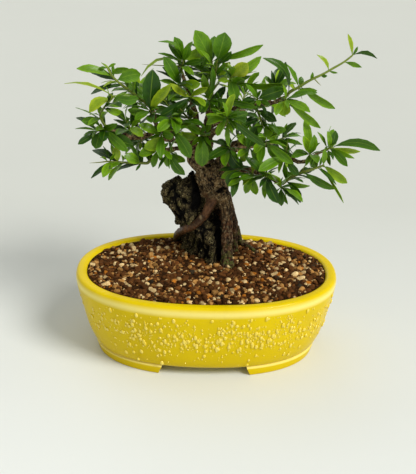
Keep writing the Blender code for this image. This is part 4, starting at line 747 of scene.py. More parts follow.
def finish_piece(piece, materials, angle=35.0, nodes=()):
    """Gives a piece its materials and its smooth shading, hangs it under the root body and hides the nodes
    that it stands for.
    """
    piece.data.materials.clear()
    for finish in materials:
        piece.data.materials.append(finish)
    take_up(piece)
    bpy.ops.object.shade_smooth_by_angle(angle=math.radians(angle))
    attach(piece, "root")
    if nodes:
        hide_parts(*nodes)
    deselect_all()


class Stock:
    """Points, faces, slots, texture places and tones of many small shapes that become one mesh."""

    def __init__(self):
        self.points = []
        self.faces = []
        self.slots = []
        self.places = []
        self.tones = []
        self.count = 0

    def add(self, points, faces, slots=None, places=None, tone=(1.0, 1.0, 1.0)):
        """Takes in one small shape."""
        points = numpy.asarray(points, dtype=float)
        self.points.append(points)
        self.faces += [tuple(corner + self.count for corner in face) for face in faces]
        self.slots += slots if slots is not None else [0] * len(faces)
        corners = sum(len(face) for face in faces)
        self.places += places if places is not None else [(0.5, 0.5)] * corners
        self.tones.append(numpy.tile((*tone, 1.0), (len(points), 1)))
        self.count += len(points)

    def build(self, name):
        """The object, with its places as a UV map and its tones as the attribute called tone."""
        points = (numpy.concatenate(self.points) + numpy.array(SHIFT)) * MM
        mesh = bpy.data.meshes.new(name)
        mesh.from_pydata(points.tolist(), [], self.faces)
        mesh.polygons.foreach_set("material_index", self.slots)
        chart = mesh.uv_layers.new(name="UVMap")
        chart.uv.foreach_set("vector", numpy.array(self.places, dtype=float).ravel())
        tone = mesh.attributes.new("tone", "FLOAT_COLOR", "POINT")
        tone.data.foreach_set("color", numpy.concatenate(self.tones).ravel())
        mesh.update()
        piece = bpy.data.objects.new(name, mesh)
        bpy.context.scene.collection.objects.link(piece)
        return piece


def template(thing):
    """The points, faces, slots and texture places of a small modelled shape, which is then removed."""
    mesh = thing.data
    points = numpy.array([tuple(vert.co) for vert in mesh.vertices])
    faces = [tuple(face.vertices) for face in mesh.polygons]
    slots = [face.material_index for face in mesh.polygons]
    chart = mesh.uv_layers.active
    places = []
    for face in mesh.polygons:
        for loop in face.loop_indices:
            places.append(tuple(chart.uv[loop].vector) if chart else (0.5, 0.5))
    bpy.data.objects.remove(thing, do_unlink=True)
    return points, faces, slots, places


def smooth_line(points, radii, steps=4):
    """A finer line through the same points, with radii that follow smoothly."""
    fine_points = []
    fine_radii = []
    last = len(points) - 1
    for index in range(last):
        p0 = points[max(0, index - 1)]
        p1 = points[index]
        p2 = points[index + 1]
        p3 = points[min(last, index + 2)]
        for step in range(steps):
            t = step / steps
            fine_points.append(0.5 * (2 * p1 + (p2 - p0) * t + (2 * p0 - 5 * p1 + 4 * p2 - p3) * t * t
                                      + (3 * p1 - p0 - 3 * p2 + p3) * t * t * t))
            fine_radii.append(radii[index] + (radii[index + 1] - radii[index]) * t * t * (3 - 2 * t))
    fine_points.append(points[-1].copy())
    fine_radii.append(radii[-1])
    return fine_points, fine_radii


def tube_skin(points, radii, sides, swell=None):
    """Points and faces of a closed tube that turns as little as it can along its line."""
    rings = []
    side = None
    for index, point in enumerate(points):
        before = points[max(0, index - 1)]
        after = points[min(len(points) - 1, index + 1)]
        heading = (after - before).normalized()
        if side is None:
            side = heading.cross(Vector((0.31, 0.23, 0.92))).normalized()
        side = (side - heading * side.dot(heading)).normalized()
        other = heading.cross(side)
        for step in range(sides):
            angle = 2 * math.pi * step / sides
            radius = radii[index]
            if swell:
                radius *= swell(index, angle)
            rings.append(point + side * (radius * math.cos(angle)) + other * (radius * math.sin(angle)))
    faces = [tuple(reversed(range(sides)))] + ring_faces(len(points), sides)
    last = (len(points) - 1) * sides
    faces.append(tuple(range(last, last + sides)))
    return [tuple(point) for point in rings], faces


def new_group(name, inputs, outputs):
    """An empty shader node group with named sockets, and its input and output nodes."""
    group = bpy.data.node_groups.new(name, "ShaderNodeTree")
    for label, kind, value in inputs:
        socket = group.interface.new_socket(label, in_out="INPUT", socket_type=kind)
        if value is not None:
            socket.default_value = value
    for label, kind in outputs:
        group.interface.new_socket(label, in_out="OUTPUT", socket_type=kind)
    return group, group.nodes.new("NodeGroupInput"), group.nodes.new("NodeGroupOutput")


def node(tree, kind, links=None, **values):
    """A new node with its properties set and its sockets linked or filled in."""
    new = tree.nodes.new(kind)
    for label, value in values.items():
        setattr(new, label, value)
    for label, value in (links or {}).items():
        socket = new.inputs[label]
        if isinstance(value, bpy.types.NodeSocket):
            tree.links.new(value, socket)
        else:
            socket.default_value = value
    return new


def ramp_between(tree, value, low, high):
    """A value stretched so that low becomes 0 and high becomes 1, and held between them."""
    return node(tree, "ShaderNodeMapRange", {0: value, 1: low, 2: high, 3: 0.0, 4: 1.0}).outputs[0]


def mix_colours(tree, share, first, second, blend="MIX"):
    """Two colours mixed by a share, each a socket or three channels."""
    first, second = [side if isinstance(side, bpy.types.NodeSocket) else (*side, 1.0)
                     for side in (first, second)]
    mixer = node(tree, "ShaderNodeMix", {0: share, 6: first, 7: second}, data_type="RGBA", blend_type=blend)
    return mixer.outputs[2]


def soft_mottle():
    """Group: soft cloudy patches, as a mask and as a height."""
    group, start, end = new_group("soft mottle", [
        ("Vector", "NodeSocketVector", None), ("Scale", "NodeSocketFloat", 60.0),
        ("Low", "NodeSocketFloat", 0.35), ("High", "NodeSocketFloat", 0.65)], [
        ("Mask", "NodeSocketFloat"), ("Height", "NodeSocketFloat")])
    clouds = node(group, "ShaderNodeTexNoise", {
        "Vector": start.outputs["Vector"], "Scale": start.outputs["Scale"], "Detail": 4.0, "Roughness": 0.6})
    spread = node(group, "ShaderNodeMapRange", {
        0: clouds.outputs[0], 1: start.outputs["Low"], 2: start.outputs["High"], 3: 0.0, 4: 1.0})
    group.links.new(spread.outputs[0], end.inputs["Mask"])
    group.links.new(clouds.outputs[0], end.inputs["Height"])
    return group


def crumbly_relief():
    """Group: small crumbs and pits over coarser lumps, as a height."""
    group, start, end = new_group("crumbly relief", [
        ("Vector", "NodeSocketVector", None), ("Lumps", "NodeSocketFloat", 150.0),
        ("Crumbs", "NodeSocketFloat", 900.0)], [("Height", "NodeSocketFloat")])
    lumps = node(group, "ShaderNodeTexNoise", {
        "Vector": start.outputs["Vector"], "Scale": start.outputs["Lumps"], "Detail": 5.0, "Roughness": 0.65})
    crumbs = node(group, "ShaderNodeTexVoronoi", {
        "Vector": start.outputs["Vector"], "Scale": start.outputs["Crumbs"]})
    total = node(group, "ShaderNodeMath", {0: crumbs.outputs["Distance"], 1: 0.45, 2: lumps.outputs[0]},
                 operation="MULTIPLY_ADD")
    group.links.new(total.outputs[0], end.inputs["Height"])
    return group


def long_furrows():
    """Group: furrows drawn out along the height, as a mask of their ridges and as a height."""
    group, start, end = new_group("long furrows", [
        ("Vector", "NodeSocketVector", None), ("Scale", "NodeSocketFloat", 300.0),
        ("Low", "NodeSocketFloat", 0.4), ("High", "NodeSocketFloat", 0.6)], [
        ("Mask", "NodeSocketFloat"), ("Height", "NodeSocketFloat")])
    drawn = node(group, "ShaderNodeMapping", {"Vector": start.outputs["Vector"], "Scale": (1.0, 1.0, 0.34)})
    ridges = node(group, "ShaderNodeTexNoise", {
        "Vector": drawn.outputs[0], "Scale": start.outputs["Scale"], "Detail": 6.0, "Roughness": 0.7,
        "Distortion": 0.6})
    spread = node(group, "ShaderNodeMapRange", {
        0: ridges.outputs[0], 1: start.outputs["Low"], 2: start.outputs["High"], 3: 0.0, 4: 1.0})
    group.links.new(spread.outputs[0], end.inputs["Mask"])
    group.links.new(ridges.outputs[0], end.inputs["Height"])
    return group


def maths(tree, kind, *values, **settings):
    """The result of one operation on numbers and sockets."""
    return node(tree, "ShaderNodeMath", dict(enumerate(values)), operation=kind, **settings).outputs[0]


def attribute(tree, name, output="Fac"):
    """What a mesh keeps under a name, as a share or as a colour."""
    return node(tree, "ShaderNodeAttribute", attribute_name=name).outputs[output]


class Finishes:
    """The materials of the whole tree, and the shared effects that they use."""

    def __init__(self):
        self.groups = {}

    def start(self, name, roughness, gleam=0.5):
        """A new material, its tree, its shader and its object coordinates."""
        finish = bpy.data.materials.new(name)
        finish.use_nodes = True
        tree = finish.node_tree
        shader = tree.nodes["Principled BSDF"]
        shader.inputs["Roughness"].default_value = roughness
        shader.inputs["Specular IOR Level"].default_value = gleam
        place = tree.nodes.new("ShaderNodeTexCoord").outputs["Object"]
        return finish, tree, shader, place

    def use(self, tree, maker, links):
        """A shared effect placed in a material with its own values, made when it is first asked for."""
        if maker.__name__ not in self.groups:
            self.groups[maker.__name__] = maker()
        new = tree.nodes.new("ShaderNodeGroup")
        new.node_tree = self.groups[maker.__name__]
        for label, value in links.items():
            if isinstance(value, bpy.types.NodeSocket):
                tree.links.new(value, new.inputs[label])
            else:
                new.inputs[label].default_value = value
        return new.outputs

    def mottle(self, tree, place, scale, low, high):
        """The mask of the soft patches."""
        values = {"Vector": place, "Scale": scale, "Low": low, "High": high}
        return self.use(tree, soft_mottle, values)["Mask"]

    def crumbs(self, tree, place, lumps, crumbs):
        """The height of the crumbs over lumps."""
        return self.use(tree, crumbly_relief, {"Vector": place, "Lumps": lumps, "Crumbs": crumbs})["Height"]

    def bump(self, tree, shader, height, strength, distance):
        """Fine relief from a height."""
        relief = node(tree, "ShaderNodeBump", {"Height": height, "Strength": strength, "Distance": distance})
        tree.links.new(relief.outputs[0], shader.inputs["Normal"])

    def coat(self, shader, weight, roughness):
        """A clear layer, the same all over."""
        shader.inputs["Coat Weight"].default_value = weight
        shader.inputs["Coat Roughness"].default_value = roughness

    def glaze(self, settings):
        """Gloss glaze: deeper low on the wall, with pale bands under the lip and at the feet that are partly
        thin glaze and partly a painted highlight, and a fine peel.
        """
        finish, tree, shader, place = self.start("yellow glaze", 0.28, 0.08)
        height = node(tree, "ShaderNodeSeparateXYZ", {0: place}).outputs[2]
        clouds = self.mottle(tree, place, 22.0, 0.3, 0.7)
        body = mix_colours(tree, clouds, settings.glaze, settings.glaze_deep)
        # Darker towards the bottom of the wall
        body = mix_colours(tree, ramp_between(tree, height, 0.052, 0.006), body, settings.glaze_deep)
        # Pale bands under the lip and along the top of the feet: partly glaze running thin on the edges,
        # partly a painted highlight
        for level, reach in ((0.0732, 0.0048), (0.0084, 0.0016)):
            away = maths(tree, "ABSOLUTE", maths(tree, "SUBTRACT", height, level))
            thin = maths(tree, "MULTIPLY", ramp_between(tree, away, reach, reach * 0.2), 0.75)
            body = mix_colours(tree, thin, body, settings.thin_glaze_and_highlight)
        tree.links.new(body, shader.inputs["Base Color"])
        self.coat(shader, 0.06, 0.08)
        self.bump(tree, shader, self.crumbs(tree, place, 120.0, 420.0), 0.10, 0.0006)
        return finish

    def water(self, settings):
        """Small clear beads that take the colour of the glaze under them."""
        finish, tree, shader, place = self.start("water beads", 0.12, 0.5)
        share = maths(tree, "MULTIPLY", self.mottle(tree, place, 180.0, 0.3, 0.7), 0.45)
        body = mix_colours(tree, share, settings.glaze, settings.thin_glaze_and_highlight)
        tree.links.new(body, shader.inputs["Base Color"])
        self.coat(shader, 0.3, 0.12)
        return finish

    def grit(self, name, roughness):
        """A crumb of grit: its own tone, dusted and pitted."""
        finish, tree, shader, place = self.start(name, roughness, 0.08)
        tone = attribute(tree, "tone", "Color")
        clouds = self.mottle(tree, place, 420.0, 0.35, 0.7)
        dusty = mix_colours(tree, 0.8, tone, (0.50, 0.38, 0.28), "MULTIPLY")
        tree.links.new(mix_colours(tree, clouds, dusty, tone), shader.inputs["Base Color"])
        self.bump(tree, shader, self.crumbs(tree, place, 500.0, 1600.0), 0.5, 0.0006)
        return finish

    def earth(self, settings):
        """The earth between the grains, painted far darker than the grains as painted shade in the gaps."""
        finish, tree, shader, place = self.start("dark earth", 0.95, 0.05)
        clouds = self.mottle(tree, place, 240.0, 0.35, 0.65)
        # Painted shade: the earth takes only 12 to 40 per cent of the brown, so that the gaps between grains
        # read dark
        dark, light = [[channel * share for channel in settings.brown] for share in (0.12, 0.4)]
        tree.links.new(mix_colours(tree, clouds, dark, light), shader.inputs["Base Color"])
        self.bump(tree, shader, self.crumbs(tree, place, 260.0, 700.0), 0.9, 0.0015)
        return finish

    def shade_hollows(self, tree, body, dark):
        """Paints shade into the furrows and clefts that are marked on the mesh."""
        share = ramp_between(tree, attribute(tree, "hollow_shade"), 0.18, 0.75)
        return mix_colours(tree, share, body, dark)

    def stone(self, settings):
        """Dark furrowed stone with moss and pale scale in patches; its furrows, pits and marked hollows take
        a near-black colour as painted shade.
        """
        finish, tree, shader, place = self.start("mossy stone", 0.9, 0.12)
        furrow = self.use(tree, long_furrows, {"Vector": place, "Scale": 430.0, "Low": 0.42, "High": 0.60})
        # Painted shade: the furrows of the pattern take the near-black crevice colour
        body = mix_colours(tree, furrow["Mask"], settings.crevice_shade, settings.stone)
        share = maths(tree, "MULTIPLY", self.mottle(tree, place, 90.0, 0.50, 0.66), 0.7)
        body = mix_colours(tree, share, body, settings.moss)
        body = mix_colours(tree, self.mottle(tree, place, 820.0, 0.57, 0.64), body, settings.scale_tone)
        # Painted shade in small pits
        body = mix_colours(tree, self.mottle(tree, place, 560.0, 0.45, 0.37), body, settings.crevice_shade)
        body = self.shade_hollows(tree, body, settings.crevice_shade)
        tree.links.new(body, shader.inputs["Base Color"])
        rough = self.crumbs(tree, place, 260.0, 900.0)
        self.bump(tree, shader, maths(tree, "MULTIPLY_ADD", furrow["Height"], 1.2, rough), 0.9, 0.0018)
        return finish

    def bark(self, settings):
        """Rough bark: grey-tan on the bole, red-brown on the roots, moss at the foot; its furrows, pits and
        marked hollows take a near-black colour as painted shade.
        """
        finish, tree, shader, place = self.start("rough bark", 0.85, 0.15)
        height = node(tree, "ShaderNodeSeparateXYZ", {0: place}).outputs[2]
        sleek = attribute(tree, "smooth")
        coarse = maths(tree, "SUBTRACT", 1.0, sleek)
        upper = maths(tree, "MULTIPLY", ramp_between(tree, height, 0.122, 0.150), coarse)
        body = self.bark_ridges(tree, settings, place, upper, coarse)
        furrow = self.use(tree, long_furrows, {"Vector": place, "Scale": 480.0, "Low": 0.36, "High": 0.56})
        filled = maths(tree, "MULTIPLY_ADD", sleek, 0.30, furrow["Mask"], use_clamp=True)
        # Painted shade: the furrows of the pattern take the near-black furrow colour
        body = mix_colours(tree, filled, settings.furrow, body)
        pitted = maths(tree, "MULTIPLY", self.mottle(tree, place, 560.0, 0.46, 0.38), upper)
        # Painted shade in small pits on the bole
        body = mix_colours(tree, pitted, body, settings.furrow)
        body = self.shade_hollows(tree, body, settings.furrow)
        foot = ramp_between(tree, height, 0.108, 0.082)
        mossy = maths(tree, "MULTIPLY", foot, self.mottle(tree, place, 260.0, 0.48, 0.58))
        body = mix_colours(tree, mossy, body, settings.moss)
        tree.links.new(body, shader.inputs["Base Color"])
        total = maths(tree, "MULTIPLY_ADD", furrow["Height"], 1.6, self.crumbs(tree, place, 420.0, 1100.0))
        rise = maths(tree, "MULTIPLY_ADD", coarse, 0.7, 0.3)
        self.bump(tree, shader, maths(tree, "MULTIPLY", total, rise), 0.8, 0.0011)
        tree.links.new(maths(tree, "MULTIPLY_ADD", coarse, 0.47, 0.38), shader.inputs["Roughness"])
        return finish

    def bark_ridges(self, tree, settings, place, upper, coarse):
        """The bark between its furrows: stained on the roots, with pale flakes and one pale scar."""
        stained = [channel * 0.30 for channel in settings.root]
        low_tone = mix_colours(tree, self.mottle(tree, place, 170.0, 0.40, 0.62), stained, settings.root)
        ridge = mix_colours(tree, upper, low_tone, settings.bark)
        flaky = maths(tree, "MULTIPLY_ADD", upper, 0.45, 0.30)
        flaky = maths(tree, "MULTIPLY", flaky, maths(tree, "MULTIPLY_ADD", coarse, 0.8, 0.2))
        share = maths(tree, "MULTIPLY", self.mottle(tree, place, 430.0, 0.49, 0.58), flaky)
        ridge = mix_colours(tree, share, ridge, settings.bark_pale)
        away = node(tree, "ShaderNodeVectorMath", {0: place, 1: tuple(in_frame(SCAR))}, operation="DISTANCE")
        scar = ramp_between(tree, away.outputs["Value"], 0.0032, 0.0012)
        return mix_colours(tree, scar, ridge, settings.bark_pale)

    def leaf_face(self, settings):
        """The glossy upper face: its own green, a painted highlight along its rim, painted shade towards its
        stalk, a pale midrib and faint side veins.
        """
        finish, tree, shader, place = self.start("leaf face", settings.face_gloss, 0.20)
        tone = attribute(tree, "tone", "Color")
        chart = node(tree, "ShaderNodeUVMap", uv_map="UVMap").outputs[0]
        split = node(tree, "ShaderNodeSeparateXYZ", {0: chart})
        out = maths(tree, "ABSOLUTE", maths(tree, "SUBTRACT", split.outputs[0], 0.5))
        rib = ramp_between(tree, out, 0.040, 0.006)
        slant = maths(tree, "MULTIPLY_ADD", out, -0.55, split.outputs[1])
        vein = ramp_between(tree, maths(tree, "SINE", maths(tree, "MULTIPLY", slant, 62.0)), 0.80, 1.0)
        darker = mix_colours(tree, 1.0, tone, (0.48, 0.56, 0.40), "MULTIPLY")
        body = mix_colours(tree, self.mottle(tree, place, 160.0, 0.3, 0.75), darker, tone)
        # Painted highlight: the blade grows lighter towards its edges
        rim = maths(tree, "MULTIPLY", ramp_between(tree, out, 0.22, 0.46), 0.55)
        body = mix_colours(tree, rim, body, mix_colours(tree, 1.0, tone, (1.50, 1.30, 1.2), "MULTIPLY"))
        # Painted shade: the blade darkens towards its stalk
        near = maths(tree, "MULTIPLY", ramp_between(tree, split.outputs[1], 0.62, 0.10), 0.6)
        body = mix_colours(tree, near, body, darker)
        paler = mix_colours(tree, 1.0, tone, (1.55, 1.40, 1.35), "MULTIPLY")
        body = mix_colours(tree, maths(tree, "MULTIPLY", vein, 0.35), body, paler)
        body = mix_colours(tree, maths(tree, "MULTIPLY", rib, 0.38), body, settings.midrib)
        tree.links.new(body, shader.inputs["Base Color"])
        dent = maths(tree, "MULTIPLY", maths(tree, "MULTIPLY_ADD", rib, 2.0, vein), -1.0)
        self.bump(tree, shader, dent, 0.35, 0.0003)
        self.coat(shader, 0.08, 0.15)
        return finish

    def leaf_back(self, settings):
        """The dull paler underside."""
        finish, tree, shader, place = self.start("leaf back", 0.65, 0.2)
        pale = mix_colours(tree, 0.45, attribute(tree, "tone", "Color"), settings.underside)
        clouds = self.mottle(tree, place, 200.0, 0.3, 0.7)
        body = mix_colours(tree, clouds, pale, settings.underside)
        tree.links.new(body, shader.inputs["Base Color"])
        return finish

    def twig(self):
        """Thin bark of the twigs: green on young wood, brown on old."""
        finish, tree, shader, place = self.start("twig bark", 0.7, 0.2)
        tone = attribute(tree, "tone", "Color")
        clouds = self.use(tree, soft_mottle, {"Vector": place, "Scale": 500.0, "Low": 0.35, "High": 0.7})
        dark = mix_colours(tree, 1.0, tone, (0.5, 0.5, 0.5), "MULTIPLY")
        tree.links.new(mix_colours(tree, clouds["Mask"], dark, tone), shader.inputs["Base Color"])
        self.bump(tree, shader, clouds["Height"], 0.5, 0.0004)
        return finish

    def plastic(self):
        """Black moulded plastic with a fine matt grain and dust."""
        finish, tree, shader, place = self.start("black mesh plastic", 0.55)
        dust = self.mottle(tree, place, 300.0, 0.45, 0.8)
        body = mix_colours(tree, dust, (0.015, 0.015, 0.016), (0.07, 0.05, 0.035))
        tree.links.new(body, shader.inputs["Base Color"])
        self.bump(tree, shader, self.crumbs(tree, place, 900.0, 2200.0), 0.2, 0.0003)
        return finish

    def paper(self, settings):
        """The pale floor, darker further back as painted shade."""
        finish, tree, shader, place = self.start("pale floor", 0.75)
        away = node(tree, "ShaderNodeSeparateXYZ", {0: place}).outputs[1]
        # Painted shade: the floor darkens towards the back
        body = mix_colours(tree, ramp_between(tree, away, -0.55, 0.35), settings.floor, settings.floor_far_shade)
        shade = mix_colours(tree, 1.0, body, (0.97, 0.97, 0.97), "MULTIPLY")
        body = mix_colours(tree, self.mottle(tree, place, 3.0, 0.2, 0.8), shade, body)
        tree.links.new(body, shader.inputs["Base Color"])
        return finish


FINISHES = Finishes()


def colour(label, text, default):
    """A colour that a user may change."""
    return bpy.props.FloatVectorProperty(
        name=label, description=text, subtype="COLOR", size=3, min=0.0, max=1.0, default=default)


def length(label, text, default, low):
    """A length that a user may change."""
    return bpy.props.FloatProperty(name=label, description=text, default=default, min=low, unit="LENGTH")


class PotSettings(bpy.types.PropertyGroup):
    """Sizes and colours of the pot."""

    glaze: colour("Glaze", "The glaze on the wall", (0.78, 0.575, 0.001))
    # A darker glaze, mixed in soft patches over the wall and towards the bottom of the wall
    glaze_deep: colour("Deep glaze", "The glaze where it lies thick, low on the wall", (0.66, 0.48, 0.001))
    # Paler glaze: glaze running thin on the edges, also painted on as a highlight in the bands under the lip
    # and at the feet
    thin_glaze_and_highlight: colour("Thin glaze", "The glaze where it runs thin, on the lip", (0.95, 0.82, 0.26))
    beads: bpy.props.IntProperty(
        name="Water beads", description="How many beads of water stand on the wall", default=900, min=0)
    bead_size: length("Bead size", "Radius of a middling bead", 0.0010, 0.0002)


class SoilSettings(bpy.types.PropertyGroup):
    """Sizes and colours of the grit."""

    pitch: length("Spacing", "Distance between grains", 0.0030, 0.001)
    grain: length("Grain size", "Width of a middling grain", 0.0034, 0.001)
    pale_share: bpy.props.FloatProperty(
        name="Pale share", description="Share of pale grains", default=0.15, min=0.0, max=1.0,
        subtype="FACTOR")
    brown: colour("Brown", "Burnt brown grains and the earth between them", (0.125, 0.050, 0.013))
    tan: colour("Tan", "Grains of a middling tan", (0.46, 0.25, 0.075))
    pale: colour("Pale", "Pale pumice grains", (0.78, 0.60, 0.30))
    orange: colour("Orange", "The few orange grains", (0.46, 0.17, 0.02))
    slate: colour("Slate", "The few dark grey grains", (0.045, 0.035, 0.020))


class RockSettings(bpy.types.PropertyGroup):
    """Sizes and colours of the rock."""

    voxel: length("Fineness", "Size of the finest shape on the rock", 0.0009, 0.0005)
    crag: length("Crag", "Depth of the crags", 0.0034, 0.0)
    cleft: length("Cleft", "Depth of the cleft beside the bole", 0.007, 0.0)
    stone: colour("Stone", "The ridges of the stone", (0.135, 0.100, 0.044))
    # Near-black colour painted as shade into the furrows, pits and hollows of the stone
    crevice_shade: colour("Crevice", "The furrows of the stone", (0.003, 0.0025, 0.002))
    moss: colour("Moss", "Moss and lichen in patches", (0.085, 0.078, 0.020))
    scale_tone: colour("Scale", "Pale scale in specks", (0.33, 0.28, 0.13))


class TrunkSettings(bpy.types.PropertyGroup):
    """Sizes and colours of the wood."""

    voxel: length("Fineness", "Size of the finest shape on the wood", 0.00075, 0.0005)
    furrow_depth: length("Furrow depth", "Depth of the furrows in the bark", 0.0012, 0.0)
    bark: colour("Bark", "Bark of the bole and limbs", (0.250, 0.155, 0.066))
    bark_pale: colour("Pale bark", "Pale flakes of bark", (0.460, 0.350, 0.190))
    root: colour("Roots", "Bark of the bare roots", (0.130, 0.056, 0.023))
    # Near-black colour painted as shade into the furrows, pits and hollows of the bark
    furrow: colour("Furrows", "The furrows in the bark", (0.005, 0.003, 0.002))
    moss: colour("Moss", "Moss at the foot", (0.090, 0.110, 0.022))


class LeafSettings(bpy.types.PropertyGroup):
    """Sizes and colours of the leaves and twigs."""

    crown_fill: bpy.props.IntProperty(
        name="Crown fill", description="Small leaves added to each spray", default=17, min=0)
    thickness: length("Thickness", "Thickness of a blade", 0.00035, 0.0001)
    face_gloss: bpy.props.FloatProperty(
        name="Roughness", description="Roughness of the upper face", default=0.34, min=0.0, max=1.0,
        subtype="FACTOR")
    deep: colour("Deep green", "The darkest leaves", (0.018, 0.066, 0.002))
    middle: colour("Middle green", "Most of the leaves", (0.082, 0.205, 0.003))
    bright: colour("Bright green", "The brightest full-grown leaves", (0.185, 0.350, 0.008))
    young: colour("Young green", "Young leaves", (0.330, 0.420, 0.020))
    underside: colour("Underside", "The dull face below", (0.150, 0.225, 0.035))
    midrib: colour("Midrib", "The pale rib down the middle", (0.250, 0.390, 0.030))
    old_twig: colour("Old twig", "Bark of old twigs", (0.125, 0.074, 0.040))
    young_twig: colour("Young twig", "Bark of young shoots", (0.230, 0.225, 0.055))


class StageSettings(bpy.types.PropertyGroup):
    """The floor, the lights and the camera."""

    floor: colour("Floor", "The pale floor", (0.87, 0.90, 0.885))
    # The floor's colour further back, darkened as painted shade
    floor_far_shade: colour("Far floor", "The floor further back", (0.60, 0.615, 0.575))
    sky: bpy.props.FloatProperty(
        name="Sky", description="Strength of the light from all round", default=0.46, min=0.0)
    key: bpy.props.FloatProperty(
        name="Key light", description="Strength of the large window on the right", default=2.8, min=0.0)
    fill: bpy.props.FloatProperty(
        name="Fill light", description="Strength of the light from behind on the left", default=0.5, min=0.0)
    lens: bpy.props.FloatProperty(
        name="Lens", description="Focal length", default=79.82, min=10.0, unit="CAMERA")


def oval_size(inset, height):
    """Half the length and half the width of the pot's oval at a distance in from its rim."""
    draw_in = END_DRAW * max(0.0, 1 - height / END_DRAW_FROM)
    return POT_LENGTH / 2 - inset - draw_in, POT_WIDTH / 2 - inset


def oval_point(inset, height, angle):
    """A point of the pot's oval at an angle round it."""
    half_length, half_width = oval_size(inset, height)
    power = 2 / POT_SQUARENESS
    x = math.copysign(abs(math.cos(angle)) ** power, math.cos(angle))
    y = math.copysign(abs(math.sin(angle)) ** power, math.sin(angle))
    return Vector((half_length * x, half_width * y, height))


def wall_inset(height):
    """How far the pot's wall stands in from the rim's oval at a height."""
    wall = [(inset, level) for inset, level in POT_SECTION if 12.0 < level < 77.0 and inset < 15.0]
    wall = [spot for index, spot in enumerate(wall) if index == 0 or spot[1] > wall[index - 1][1]]
    for (inset_low, low), (inset_high, high) in zip(wall, wall[1:]):
        if low <= height <= high:
            return inset_low + (inset_high - inset_low) * (height - low) / (high - low)
    return wall[-1][0]


